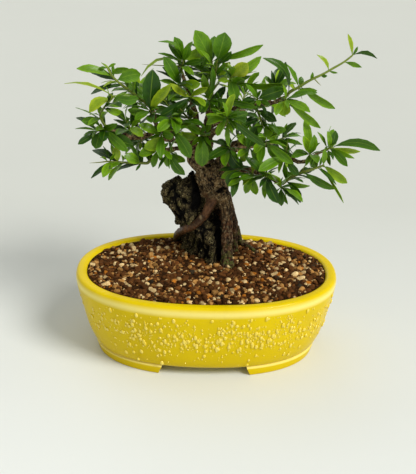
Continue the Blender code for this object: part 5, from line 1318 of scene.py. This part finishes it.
class BONSAI_OT_pot(bpy.types.Operator):
    """Model the glazed pot with its feet and drain holes, and the water beads on its wall"""

    bl_idname = "bonsai.pot"
    bl_label = "Glazed Pot"

    def execute(self, context):
        settings = context.scene.bonsai_pot
        pot = self.throw_pot()
        self.cut_feet(pot)
        finish_piece(pot, [FINISHES.glaze(settings)], 32.0, ["pot"])
        if settings.beads:
            self.stand_beads(settings)
        return {"FINISHED"}

    def throw_pot(self):
        """Draws one oval ring up the section, from under the floor over the lip and down inside."""
        deselect_all()
        bpy.ops.mesh.primitive_circle_add(vertices=POT_FINENESS, radius=1.0, fill_type="NOTHING")
        pot = bpy.context.object
        pot.name = "oval_pot"
        pot.data.name = "oval_pot"
        inset, height = POT_SECTION[0]
        for index, vert in enumerate(pot.data.vertices):
            vert.co = oval_point(inset, height, 2 * math.pi * index / POT_FINENESS)
        bpy.ops.object.mode_set(mode="EDIT")
        bpy.ops.mesh.select_all(action="SELECT")
        old_length, old_width = oval_size(inset, height)
        for inset, level in POT_SECTION[1:]:
            length, width = oval_size(inset, level)
            bpy.ops.mesh.extrude_region_move(TRANSFORM_OT_translate={"value": (0.0, 0.0, level - height)})
            bpy.ops.transform.resize(value=(length / old_length, width / old_width, 1.0),
                                     center_override=(0.0, 0.0, level))
            old_length, old_width, height = length, width, level
        bpy.ops.mesh.edge_face_add()
        first = POT_SECTION[0]
        reach = oval_size(*first)[0] + 0.1
        select_vertices(pot, lambda co: abs(co.z - first[1]) < 0.01 and abs(co.x) < reach
                        and abs(co.y) < oval_size(*first)[1] + 0.1)
        bpy.ops.mesh.edge_face_add()
        bpy.ops.mesh.select_all(action="SELECT")
        bpy.ops.mesh.normals_make_consistent(inside=False)
        bpy.ops.object.mode_set(mode="OBJECT")
        move_into_frame(pot)
        return pot

    def cut_feet(self, pot):
        """Cuts the gaps with slanted ends between the two feet, and the drain holes."""
        cutters = []
        for side in (-1, 1):
            deselect_all()
            bpy.ops.mesh.primitive_cube_add(size=2.0)
            gap = bpy.context.object
            for vert in gap.data.vertices:
                half = FOOT_GAP_TOP if vert.co.z > 0 else FOOT_GAP_BOTTOM
                near, far = POT_WIDTH / 2 * 0.2, POT_WIDTH / 2 * 1.2
                depth = far if vert.co.y > 0 else near
                vert.co = (half * vert.co.x, side * depth, FOOT_HEIGHT if vert.co.z > 0 else -1.0)
            if side < 0:
                bpy.ops.object.mode_set(mode="EDIT")
                bpy.ops.mesh.select_all(action="SELECT")
                bpy.ops.mesh.normals_make_consistent(inside=False)
                bpy.ops.object.mode_set(mode="OBJECT")
            move_into_frame(gap)
            cutters.append(gap)
        for side in (-1, 1):
            deselect_all()
            bpy.ops.mesh.primitive_cylinder_add(vertices=32, radius=DRAIN_RADIUS, depth=3 * FLOOR_TOP)
            drain = bpy.context.object
            drain.data.transform(Matrix.Translation((side * DRAIN_X, 0.0, FLOOR_TOP / 2)))
            move_into_frame(drain)
            cutters.append(drain)
        cut_away(pot, cutters)

    def stand_beads(self, settings):
        """Low round beads of water, thickest across the front of the wall."""
        deselect_all()
        bpy.ops.mesh.primitive_uv_sphere_add(segments=8, ring_count=6, radius=1.0)
        bead = bpy.context.object
        bpy.ops.object.mode_set(mode="EDIT")
        bpy.ops.mesh.select_all(action="SELECT")
        bpy.ops.mesh.bisect(plane_co=(0, 0, -0.3), plane_no=(0, 0, 1), use_fill=True, clear_inner=True)
        bpy.ops.mesh.select_all(action="SELECT")
        bpy.ops.transform.resize(value=(1.0, 1.0, 0.5))
        bpy.ops.object.mode_set(mode="OBJECT")
        points, faces, slots, places = template(bead)
        draw = random.Random(SEED + 3)
        stock = Stock()
        for _ in range(settings.beads):
            angle = math.radians(draw.gauss(-84, 34))
            height = min(67.0, max(15.0, draw.gauss(45, 12)))
            spot = oval_point(wall_inset(height), height, angle)
            beside = oval_point(wall_inset(height), height, angle + 0.01)
            above = oval_point(wall_inset(height + 1), height + 1, angle)
            along = (beside - spot).normalized()
            up = (above - spot).normalized()
            out = along.cross(up).normalized()
            size = settings.bead_size / MM * draw.choice((0.4, 0.5, 0.5, 0.6, 0.7, 0.8, 1.0, 1.3, 1.7))
            tall = size * draw.uniform(1.0, 1.9)
            turn = numpy.array([along * size, up * tall, out * size])
            stock.add(points @ turn + numpy.array(spot), faces, slots, places)
        beads = stock.build("water_beads")
        finish_piece(beads, [FINISHES.water(settings)], 80.0)


class BONSAI_OT_drain_meshes(bpy.types.Operator):
    """Give the plastic meshes over the drain holes their finish"""

    bl_idname = "bonsai.drain_meshes"
    bl_label = "Drain Meshes"

    def execute(self, context):
        plastic = FINISHES.plastic()
        for name in ("drain_mesh_left", "drain_mesh_right"):
            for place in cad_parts[name].material_slots:
                place.material = plastic
        return {"FINISHED"}


def soil_height(x, y):
    """The soil's surface: level at the rim, with a low crown round the tree."""
    out = (x / (POT_LENGTH / 2)) ** 2 + (y / (POT_WIDTH / 2)) ** 2
    return SOIL_EDGE + SOIL_CROWN * max(0.0, 1 - out)


class BONSAI_OT_soil(bpy.types.Operator):
    """Finish the earth and strew it with brown, pale, orange and slate grains"""

    bl_idname = "bonsai.soil"
    bl_label = "Gritty Soil"

    def execute(self, context):
        settings = context.scene.bonsai_soil
        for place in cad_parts["soil"].material_slots:
            place.material = FINISHES.earth(settings)
        draw = random.Random(SEED + 4)
        shapes = [self.model_grain(seed) for seed in range(7)]
        brown, pale = Stock(), Stock()
        stones = [self.skin_of(name) for name in ("rock", "trunk")]
        pitch = settings.pitch / MM
        for spacing, lift in ((pitch, -0.2), (pitch * 1.9, 1.0)):
            for spot in self.spread(draw, spacing):
                self.lay_grain(draw, spot, lift, settings, shapes, stones, brown, pale)
        for stock, name, roughness in ((brown, "brown_grit", 0.85), (pale, "pale_grit", 0.9)):
            grit = stock.build(name)
            finish_piece(grit, [FINISHES.grit(name.replace("_", " "), roughness)], 45.0)
        return {"FINISHED"}

    def model_grain(self, seed):
        """One angular grain with its edges worn round."""
        deselect_all()
        bpy.ops.mesh.primitive_cube_add(size=1.0)
        grain = bpy.context.object
        bpy.ops.object.mode_set(mode="EDIT")
        bpy.ops.mesh.select_all(action="SELECT")
        bpy.ops.mesh.bevel(offset=0.24, segments=1, affect="EDGES")
        bpy.ops.mesh.select_all(action="SELECT")
        bpy.ops.transform.vertex_random(offset=0.13, seed=seed)
        bpy.ops.object.mode_set(mode="OBJECT")
        return template(grain)

    def skin_of(self, name):
        """The packed shape of a node, in millimetres from the pot's middle, for telling what is near."""
        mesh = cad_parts[name].data
        points = [vert.co / MM - SHIFT for vert in mesh.vertices]
        return BVHTree.FromPolygons(points, [tuple(face.vertices) for face in mesh.polygons])

    def spread(self, draw, spacing):
        """Places over the whole surface, a little out of line."""
        y = -POT_WIDTH / 2
        row = 0
        while y < POT_WIDTH / 2:
            x = -POT_LENGTH / 2 + (row % 2) * spacing / 2
            while x < POT_LENGTH / 2:
                yield x + draw.uniform(-0.4, 0.4) * spacing, y + draw.uniform(-0.4, 0.4) * spacing
                x += spacing
            y += spacing * ROW_STEP
            row += 1

    def lay_grain(self, draw, spot, lift, settings, shapes, stones, brown, pale):
        """Lays one grain flat on the soil, if it clears the lip, the rock and the wood."""
        x, y = spot
        size = settings.grain / MM * draw.choice((0.5, 0.65, 0.8, 0.9, 1.0, 1.2, 1.5))
        chance = draw.random()
        shade = draw.uniform(0.65, 1.3)
        turn = draw.uniform(0, 2 * math.pi)
        tip = Vector((draw.uniform(-0.9, 0.9), draw.uniform(-0.9, 0.9), 1.0)).normalized()
        flat = draw.uniform(0.62, 0.95)
        long = draw.uniform(1.0, 1.4)
        shape = shapes[draw.randrange(len(shapes))]
        half_length, half_width = oval_size(POT_SECTION_INSIDE + size * 0.55, SOIL_EDGE)
        if abs(x / half_length) ** POT_SQUARENESS + abs(y / half_width) ** POT_SQUARENESS > 1:
            return
        middle = Vector((x, y, soil_height(x, y) + lift + draw.uniform(-1.7, 0.9)))
        for skin in stones:
            near = skin.find_nearest(middle)
            if near[0] is not None and near[3] < size * 0.40:
                return
        axis = tip.cross(Vector((math.cos(turn), math.sin(turn), 0.0))).normalized()
        other = tip.cross(axis)
        turned = numpy.array([axis * size * long, other * size, tip * size * flat])
        points, faces, slots, places = shape
        tone, stock = self.pick_tone(settings, chance, brown, pale)
        tint = [min(1.0, channel * shade) for channel in tone]
        stock.add(points @ turned + numpy.array(middle), faces, slots, places, tint)

    def pick_tone(self, settings, chance, brown, pale):
        """The colour of a grain and the heap that it belongs to."""
        if chance < settings.pale_share:
            return settings.pale, pale
        chance -= settings.pale_share
        if chance < 0.15:
            return settings.tan, pale
        if chance < 0.18:
            return settings.orange, pale
        if chance < 0.20:
            return settings.slate, brown
        if chance < 0.40:
            return [channel * 0.5 for channel in settings.brown], brown
        if chance < 0.50:
            return [channel * 1.5 for channel in settings.brown], brown
        return settings.brown, brown


def groove(value, sharpness):
    """1 along the lines where a noise crosses zero, falling to 0 beside them."""
    return 1.0 - min(1.0, abs(value) * sharpness)


def crag(point):
    """How far a point of the rock stands in or out: broken lumps cut by grooves that run up and down."""
    large = noise.fractal(Vector((point.x, point.y, point.z * 0.7)) * 0.075, 1.0, 2.0, 2)
    lumps = noise.noise(Vector((point.x, point.y, point.z * 0.8)) * 0.19 + Vector((7.0, 0.0, 0.0)))
    upright = groove(noise.noise(Vector((point.x * 0.17, point.y * 0.17, point.z * 0.055))), 4.5)
    cross = groove(noise.noise(Vector((point.x * 0.10, point.y * 0.10, point.z * 0.16 + 9.0))), 6.0)
    fine = noise.fractal(Vector((point.x, point.y, point.z * 0.6)) * 0.45, 1.0, 2.0, 3)
    return 0.95 * large + 0.75 * lumps - 0.85 * upright - 0.35 * cross + 0.30 * fine


def cleft(point, line, width):
    """How deep a shaded cleft beside the wood is at a point of the stone, as a share."""
    place = point - SHIFT
    if place.y > CLEFT_BACK:
        return 0.0
    for (low, low_middle), (high, high_middle) in zip(line, line[1:]):
        if low <= place.z <= high:
            middle = low_middle + (high_middle - low_middle) * (place.z - low) / (high - low)
            fade = min(1.0, (place.z - line[0][0]) / 8.0, (line[-1][0] - place.z) / 5.0)
            return fade * math.exp(-((place.x - middle) / width) ** 2)
    return 0.0


class BONSAI_OT_rock(bpy.types.Operator):
    """Model the craggy rock that the tree grips"""

    bl_idname = "bonsai.rock"
    bl_label = "Craggy Rock"

    def execute(self, context):
        settings = context.scene.bonsai_rock
        stock = Stock()
        for points, faces in rock_parts(0.0):
            stock.add([tuple(point) for point in points], faces)
        rock = stock.build("craggy_rock")
        apply_modifier(rock, "REMESH", mode="VOXEL", voxel_size=settings.voxel)
        apply_modifier(rock, "SMOOTH", factor=0.5, iterations=6)
        rock.data.update()
        depth = settings.crag
        normals = [vert.normal.copy() for vert in rock.data.vertices]
        hollows = []
        for vert, normal in zip(rock.data.vertices, normals):
            place = vert.co / MM
            relief = crag(place)
            cut = max(cleft(place, BOLE_CLEFT, BOLE_CLEFT_WIDTH), cleft(place, ROOT_CLEFT, ROOT_CLEFT_WIDTH))
            vert.co += normal * (depth * relief) + Vector((0.0, settings.cleft * cut, 0.0))
            # The hollow share paints shade into the crags and into the clefts beside the wood
            hollows.append(max(cut, -0.9 * relief))
        mark(rock, "hollow_shade", hollows)
        finish_piece(rock, [FINISHES.stone(settings)], 70.0, ["rock"])
        return {"FINISHED"}


def bark_relief(point):
    """How far a point of the bark stands in or out: long strands low down, knobs and pits on the bole."""
    high = max(0.0, min(1.0, (point.z - BOLE_FOOT) / 18.0))
    strand = groove(noise.noise(Vector((point.x * 0.27, point.y * 0.27, point.z * 0.05))), 3.2)
    crack = groove(noise.noise(Vector((point.x * 0.24, point.y * 0.24, point.z * 0.15 + 5.0))), 4.0)
    pit = max(0.0, noise.noise(point * 0.55) - 0.12)
    fine = noise.fractal(Vector((point.x, point.y, point.z * 0.5)) * 0.9, 1.0, 2.0, 3)
    lumps = noise.noise(point * 0.14)
    low_part = 0.55 * lumps - 1.0 * strand + 0.30 * fine
    high_part = 0.95 * lumps - 0.55 * crack - 1.9 * pit + 0.35 * fine
    return low_part + (high_part - low_part) * high


def knot_dent(point):
    """How deep the knot on the front of the bole is at a point, as a share."""
    away = point - in_frame(KNOT) / MM
    return math.exp(-(away.x / 4.6) ** 2 - (away.z / 1.7) ** 2 - (away.y / 6.0) ** 2)


class BONSAI_OT_trunk(bpy.types.Operator):
    """Model the bole, the limbs and the roots as one grown body"""

    bl_idname = "bonsai.trunk"
    bl_label = "Trunk and Roots"

    def execute(self, context):
        settings = context.scene.bonsai_trunk
        stock = Stock()
        draw = random.Random(SEED + 5)
        for knots in [*LIMBS.values(), *SHOWN_ROOTS.values()]:
            places, radii = wood(knots)
            points, widths = smooth_line(places, radii, 5)
            waves = [draw.uniform(-1, 1) for knot in range(len(points) + 8)]
            phase = draw.uniform(0, 6)

            def swell(index, angle, waves=waves, phase=phase):
                return 1 + 0.05 * waves[index] + 0.07 * math.sin(3 * angle + phase)

            stock.add(*tube_skin(points, widths, 14, swell))
        for spray in SPRAYS.values():
            stub, _, widths = spray_layout(spray)
            if stub:
                stock.add(*tube_skin(stub, [widths[0] * 1.25, widths[0]], 10))
        trunk = stock.build("rooted_trunk")
        apply_modifier(trunk, "REMESH", mode="VOXEL", voxel_size=settings.voxel)
        apply_modifier(trunk, "SMOOTH", factor=0.5, iterations=2)
        trunk.data.update()
        depth = settings.furrow_depth
        normals = [vert.normal.copy() for vert in trunk.data.vertices]
        skins = self.thickness_of()
        seams, smooth = self.root_shares([vert.co / MM for vert in trunk.data.vertices])
        hollows = []
        for vert, normal, seam, sleek in zip(trunk.data.vertices, normals, seams, smooth):
            place = vert.co / MM
            relief = self.share(place, skins) * bark_relief(place) * (1.0 - 0.45 * sleek)
            dent = knot_dent(place)
            vert.co += normal * (depth * relief - KNOT_DEPTH * MM * dent - SEAM_DEPTH * MM * seam)
            # The hollow share paints shade into the knot, the deep bark furrows and the seams between roots
            hollows.append(max(1.2 * dent, -0.85 * relief, seam))
        mark(trunk, "hollow_shade", hollows)
        mark(trunk, "smooth", smooth)
        finish_piece(trunk, [FINISHES.bark(context.scene.bonsai_trunk)], 75.0, ["trunk"])
        return {"FINISHED"}

    def root_shares(self, places):
        """How near every place lies to a seam of two roots, and how far it is on the sleek root."""
        places = numpy.array(places)
        height = places[:, 2]
        reaches = {}
        for label, knots in SHOWN_ROOTS.items():
            reach = numpy.full(len(places), 99.0)
            for point, width in zip(*smooth_line(*wood(knots), 6)):
                away = numpy.linalg.norm(places - numpy.array(point + SHIFT), axis=1)
                reach = numpy.minimum(reach, away / width)
            reaches[label] = reach
        order = numpy.sort(numpy.array(list(reaches.values())), axis=0)
        below = numpy.clip((BOLE_FOOT + 4 - height) / 10, 0, 1)
        seams = below * numpy.clip(1 - (order[1] - order[0]) / SEAM_REACH, 0, 1)
        others = numpy.min([reach for label, reach in reaches.items() if label != "crossing"], axis=0)
        smooth = numpy.clip((others - reaches["crossing"]) / SEAM_REACH, 0, 1)
        smooth *= numpy.clip((SLEEK_TOP - height) / 5, 0, 1)
        return seams.tolist(), smooth.tolist()

    def thickness_of(self):
        """Places along every limb with the wood's radius there."""
        spots = []
        for knots in [*LIMBS.values(), *SHOWN_ROOTS.values()]:
            places, radii = wood(knots)
            points, widths = smooth_line(places, radii, 3)
            spots += [(point + SHIFT, width) for point, width in zip(points, widths)]
        tree = KDTree(len(spots))
        for index, (point, width) in enumerate(spots):
            tree.insert(point, index)
        tree.balance()
        return tree, [width for point, width in spots]

    def share(self, place, skins):
        """Thin wood takes only a share of the furrows."""
        tree, widths = skins
        index = tree.find(place)[1]
        return min(1.0, 0.12 + widths[index] / 8.0)


YOUNG_LEAVES = {("great_leaf", 1), ("young_left", 0), ("young_left", 1), ("right_crown", 0),
                ("yellow_pair", 0), ("yellow_pair", 1), ("long_shoot", 8), ("long_shoot", 11)}
YOUNG_SHOOTS = {"long_shoot", "high_left_tip", "young_left", "right_tip", "top"}


class BONSAI_OT_sprays(bpy.types.Operator):
    """Model every leafy spray: its twig, its thorns, its leaves and the small leaves that fill it"""

    bl_idname = "bonsai.sprays"
    bl_label = "Leafy Sprays"

    def execute(self, context):
        settings = context.scene.bonsai_leaf
        self.broad = self.model_leaf(4, LEAF_STATIONS)
        self.slim = self.model_leaf(2, SMALL_LEAF_STATIONS)
        finishes = [FINISHES.leaf_face(settings), FINISHES.leaf_back(settings), FINISHES.twig()]
        layout, blades, thorns = plan_leaves(settings.crown_fill)
        draw = random.Random(SEED + 6)
        for label, (line, widths) in layout.items():
            stock = Stock()
            self.grow_twig(stock, label, line, widths, settings, draw)
            for index, blade in enumerate(blades[label]):
                young = (label, index) in YOUNG_LEAVES
                self.grow_leaf(stock, blade, self.leaf_tone(settings, young, draw), settings, draw)
            for foot, point in thorns[label]:
                self.grow_thorn(stock, foot, point, settings)
            spray = stock.build("leafy_" + label)
            finish_piece(spray, finishes, 55.0, ["spray_" + label])
        return {"FINISHED"}

    def model_leaf(self, across, stations):
        """A flat leaf with its stalk, two units long: shaped row by row, then given a back and a rim."""
        deselect_all()
        rows = len(stations) - 1
        bpy.ops.mesh.primitive_grid_add(x_subdivisions=across, y_subdivisions=rows, size=2.0)
        leaf = bpy.context.object
        bpy.ops.object.mode_set(mode="EDIT")
        for row, (along, breadth) in enumerate(stations):
            level = -1 + 2 * row / rows
            select_vertices(leaf, lambda co: abs(co.y - level) < 0.001 and abs(co.z) < 0.5)
            bpy.ops.transform.resize(value=(breadth, 1.0, 1.0), center_override=(0.0, level, 0.0))
            bpy.ops.transform.translate(value=(0.0, 0.0, 10.0 + along))
        bpy.ops.object.mode_set(mode="OBJECT")
        for vert in leaf.data.vertices:
            vert.co.y = vert.co.z - 10.0
            vert.co.z = 0.0
        apply_modifier(leaf, "SOLIDIFY", thickness=1.0, offset=0.0, material_offset=1, use_even_offset=False)
        return template(leaf)

    def grow_leaf(self, stock, blade, tone, settings, draw):
        """Lays the flat leaf along its blade: arched, folded up along its midrib, its tip bent down."""
        shape = self.broad if blade.width >= BROAD_LEAF else self.slim
        points, faces, slots, places = shape
        across, along, thick = points[:, 0], points[:, 1], points[:, 2]
        run = numpy.array(blade.tip - blade.foot)
        length = numpy.linalg.norm(run)
        heading = run / length
        normal = numpy.array(blade.normal)
        side = numpy.cross(normal, heading)
        swell = 4 * along * (1 - along)
        fold = draw.uniform(0.12, 0.34)
        ripple = draw.uniform(0.04, 0.17) * numpy.sin(along * draw.uniform(8, 15) + draw.uniform(0, 6))
        half = blade.width / 2 * draw.uniform(0.92 if blade.width >= BROAD_LEAF else 0.76, 1.0)
        droop = draw.uniform(-0.02, 0.07) * numpy.maximum(0, along - 0.55) ** 2 * 4
        lift = (blade.arch * swell - droop) * length
        lift += (fold * across * across + ripple * numpy.sign(across) * numpy.abs(across)) * half
        twist = math.radians(draw.uniform(-22, 22)) * (along - 0.4)
        depth = settings.thickness / MM + 0.45 * numpy.exp(-along / 0.06)
        spots = numpy.array(blade.foot) + numpy.outer(along, run) + numpy.outer(swell, numpy.array(blade.bow))
        spots += numpy.outer(across * half * numpy.cos(twist), side)
        spots += numpy.outer(lift + thick * depth + across * half * numpy.sin(twist), normal)
        stock.add(spots, faces, slots, places, tone)

    def leaf_tone(self, settings, young, draw):
        """A green between the four of the settings."""
        chance = draw.random()
        blend = draw.random()
        if young:
            first, second = settings.bright, settings.young
            blend = 0.5 + blend / 2
        elif chance < 0.40:
            first, second = settings.deep, settings.middle
        elif chance < 0.86:
            first, second = settings.middle, settings.bright
            blend *= 0.75
        elif chance < 0.95:
            first, second = settings.bright, settings.young
            blend *= 0.6
        else:
            first, second = settings.deep, settings.deep
        return [a + (b - a) * blend for a, b in zip(first, second)]

    def grow_twig(self, stock, label, line, widths, settings, draw):
        """The stem, from inside the stub on its limb to its tip."""
        heading = (line[1] - line[0]).normalized()
        places = [line[0] - heading * 2.0] + list(line)
        radii = [widths[0] * 0.95] + list(widths)
        points, thick = smooth_line(places, radii, 3)
        thick[-1] *= 0.5
        knots = [draw.uniform(0.92, 1.12) for point in points]

        def swell(index, angle):
            return knots[index]

        points, faces = tube_skin(points, thick, 8, swell)
        tone = settings.young_twig if label in YOUNG_SHOOTS else settings.old_twig
        corners = sum(len(face) for face in faces)
        stock.add(points, faces, [2] * len(faces), [(0.5, 0.5)] * corners, tone)

    def grow_thorn(self, stock, foot, point, settings):
        """A slim thorn, a little curved, sharp at its end."""
        middle = foot.lerp(point, 0.5) + Vector((0.0, 0.0, -0.3))
        points, thick = smooth_line([foot, middle, point], [0.75, 0.5, 0.12], 3)
        points, faces = tube_skin(points, thick, 6)
        corners = sum(len(face) for face in faces)
        tone = [channel * 1.5 for channel in settings.old_twig]
        stock.add(points, faces, [2] * len(faces), [(0.5, 0.5)] * corners, tone)


class BONSAI_OT_stage(bpy.types.Operator):
    """Set the pale floor, the soft lights and the camera"""

    bl_idname = "bonsai.stage"
    bl_label = "Stage"

    def execute(self, context):
        settings = context.scene.bonsai_stage
        deselect_all()
        bpy.ops.mesh.primitive_circle_add(vertices=96, radius=FLOOR_RADIUS, fill_type="NGON")
        floor = context.object
        floor.name = "pale_floor"
        floor.data.materials.append(FINISHES.paper(settings))
        world = bpy.data.worlds.new("soft_room")
        world.use_nodes = True
        world.node_tree.nodes["Background"].inputs[0].default_value = ROOM_TINT
        world.node_tree.nodes["Background"].inputs[1].default_value = settings.sky
        context.scene.world = world
        self.hang_light("key_light", settings.key, *KEY_LIGHT)
        self.hang_light("fill_light", settings.fill, *FILL_LIGHT)
        self.set_camera(context, settings)
        context.scene.view_settings.view_transform = "Standard"
        deselect_all()
        return {"FINISHED"}

    def hang_light(self, name, strength, place, spread, tint):
        """A distant soft light that shines from its place towards the tree."""
        lamp = bpy.data.lights.new(name, "SUN")
        lamp.angle = math.radians(spread)
        lamp.energy = strength
        lamp.color = tint
        light = bpy.data.objects.new(name, lamp)
        light.location = place
        light.rotation_euler = (-Vector(place)).to_track_quat("-Z", "Y").to_euler()
        bpy.context.scene.collection.objects.link(light)

    def set_camera(self, context, settings):
        """The camera that the tree is composed for."""
        lens = bpy.data.cameras.new("front_view")
        lens.sensor_fit = "VERTICAL"
        lens.sensor_height = 36.0
        lens.lens = settings.lens
        lens.clip_end = 80.0
        camera = bpy.data.objects.new("front_view", lens)
        place = in_frame(EYE)
        aim = in_frame(AIM)
        turn = (aim - place).to_track_quat("-Z", "Y").to_matrix().to_4x4()
        turn = turn @ Matrix.Rotation(math.radians(CAMERA_ROLL), 4, "Z")
        camera.matrix_world = Matrix.Translation(place) @ turn
        context.scene.collection.objects.link(camera)
        context.scene.camera = camera


OPERATORS = [BONSAI_OT_pot, BONSAI_OT_drain_meshes, BONSAI_OT_soil, BONSAI_OT_rock, BONSAI_OT_trunk,
             BONSAI_OT_sprays, BONSAI_OT_stage]
SETTINGS = {"bonsai_pot": PotSettings, "bonsai_soil": SoilSettings, "bonsai_rock": RockSettings,
            "bonsai_trunk": TrunkSettings, "bonsai_leaf": LeafSettings, "bonsai_stage": StageSettings}


class BONSAI_PT_panel(bpy.types.Panel):
    """Lists the steps that dress the tree"""

    bl_label = "Firethorn Bonsai"
    bl_idname = "BONSAI_PT_panel"
    bl_space_type = "VIEW_3D"
    bl_region_type = "UI"
    bl_category = "Bonsai"

    def draw(self, context):
        for step in OPERATORS:
            self.layout.operator(step.bl_idname)
        for label, group in SETTINGS.items():
            box = self.layout.box()
            box.label(text=group.__doc__)
            for entry in group.__annotations__:
                box.prop(getattr(context.scene, label), entry)


def register():
    """Adds the steps, their settings and the panel."""
    for kind in [*SETTINGS.values(), *OPERATORS, BONSAI_PT_panel]:
        bpy.utils.register_class(kind)
    for label, group in SETTINGS.items():
        setattr(bpy.types.Scene, label, bpy.props.PointerProperty(type=group))


def unregister():
    """Takes them away again."""
    for label in SETTINGS:
        delattr(bpy.types.Scene, label)
    for kind in [BONSAI_PT_panel, *reversed(OPERATORS), *reversed(list(SETTINGS.values()))]:
        bpy.utils.unregister_class(kind)


def main():
    """Dresses the tree step by step."""
    register()
    bpy.ops.bonsai.pot()
    bpy.ops.bonsai.drain_meshes()
    bpy.ops.bonsai.soil()
    bpy.ops.bonsai.rock()
    bpy.ops.bonsai.trunk()
    bpy.ops.bonsai.sprays()
    bpy.ops.bonsai.stage()


if __name__ == "__main__":
    main()
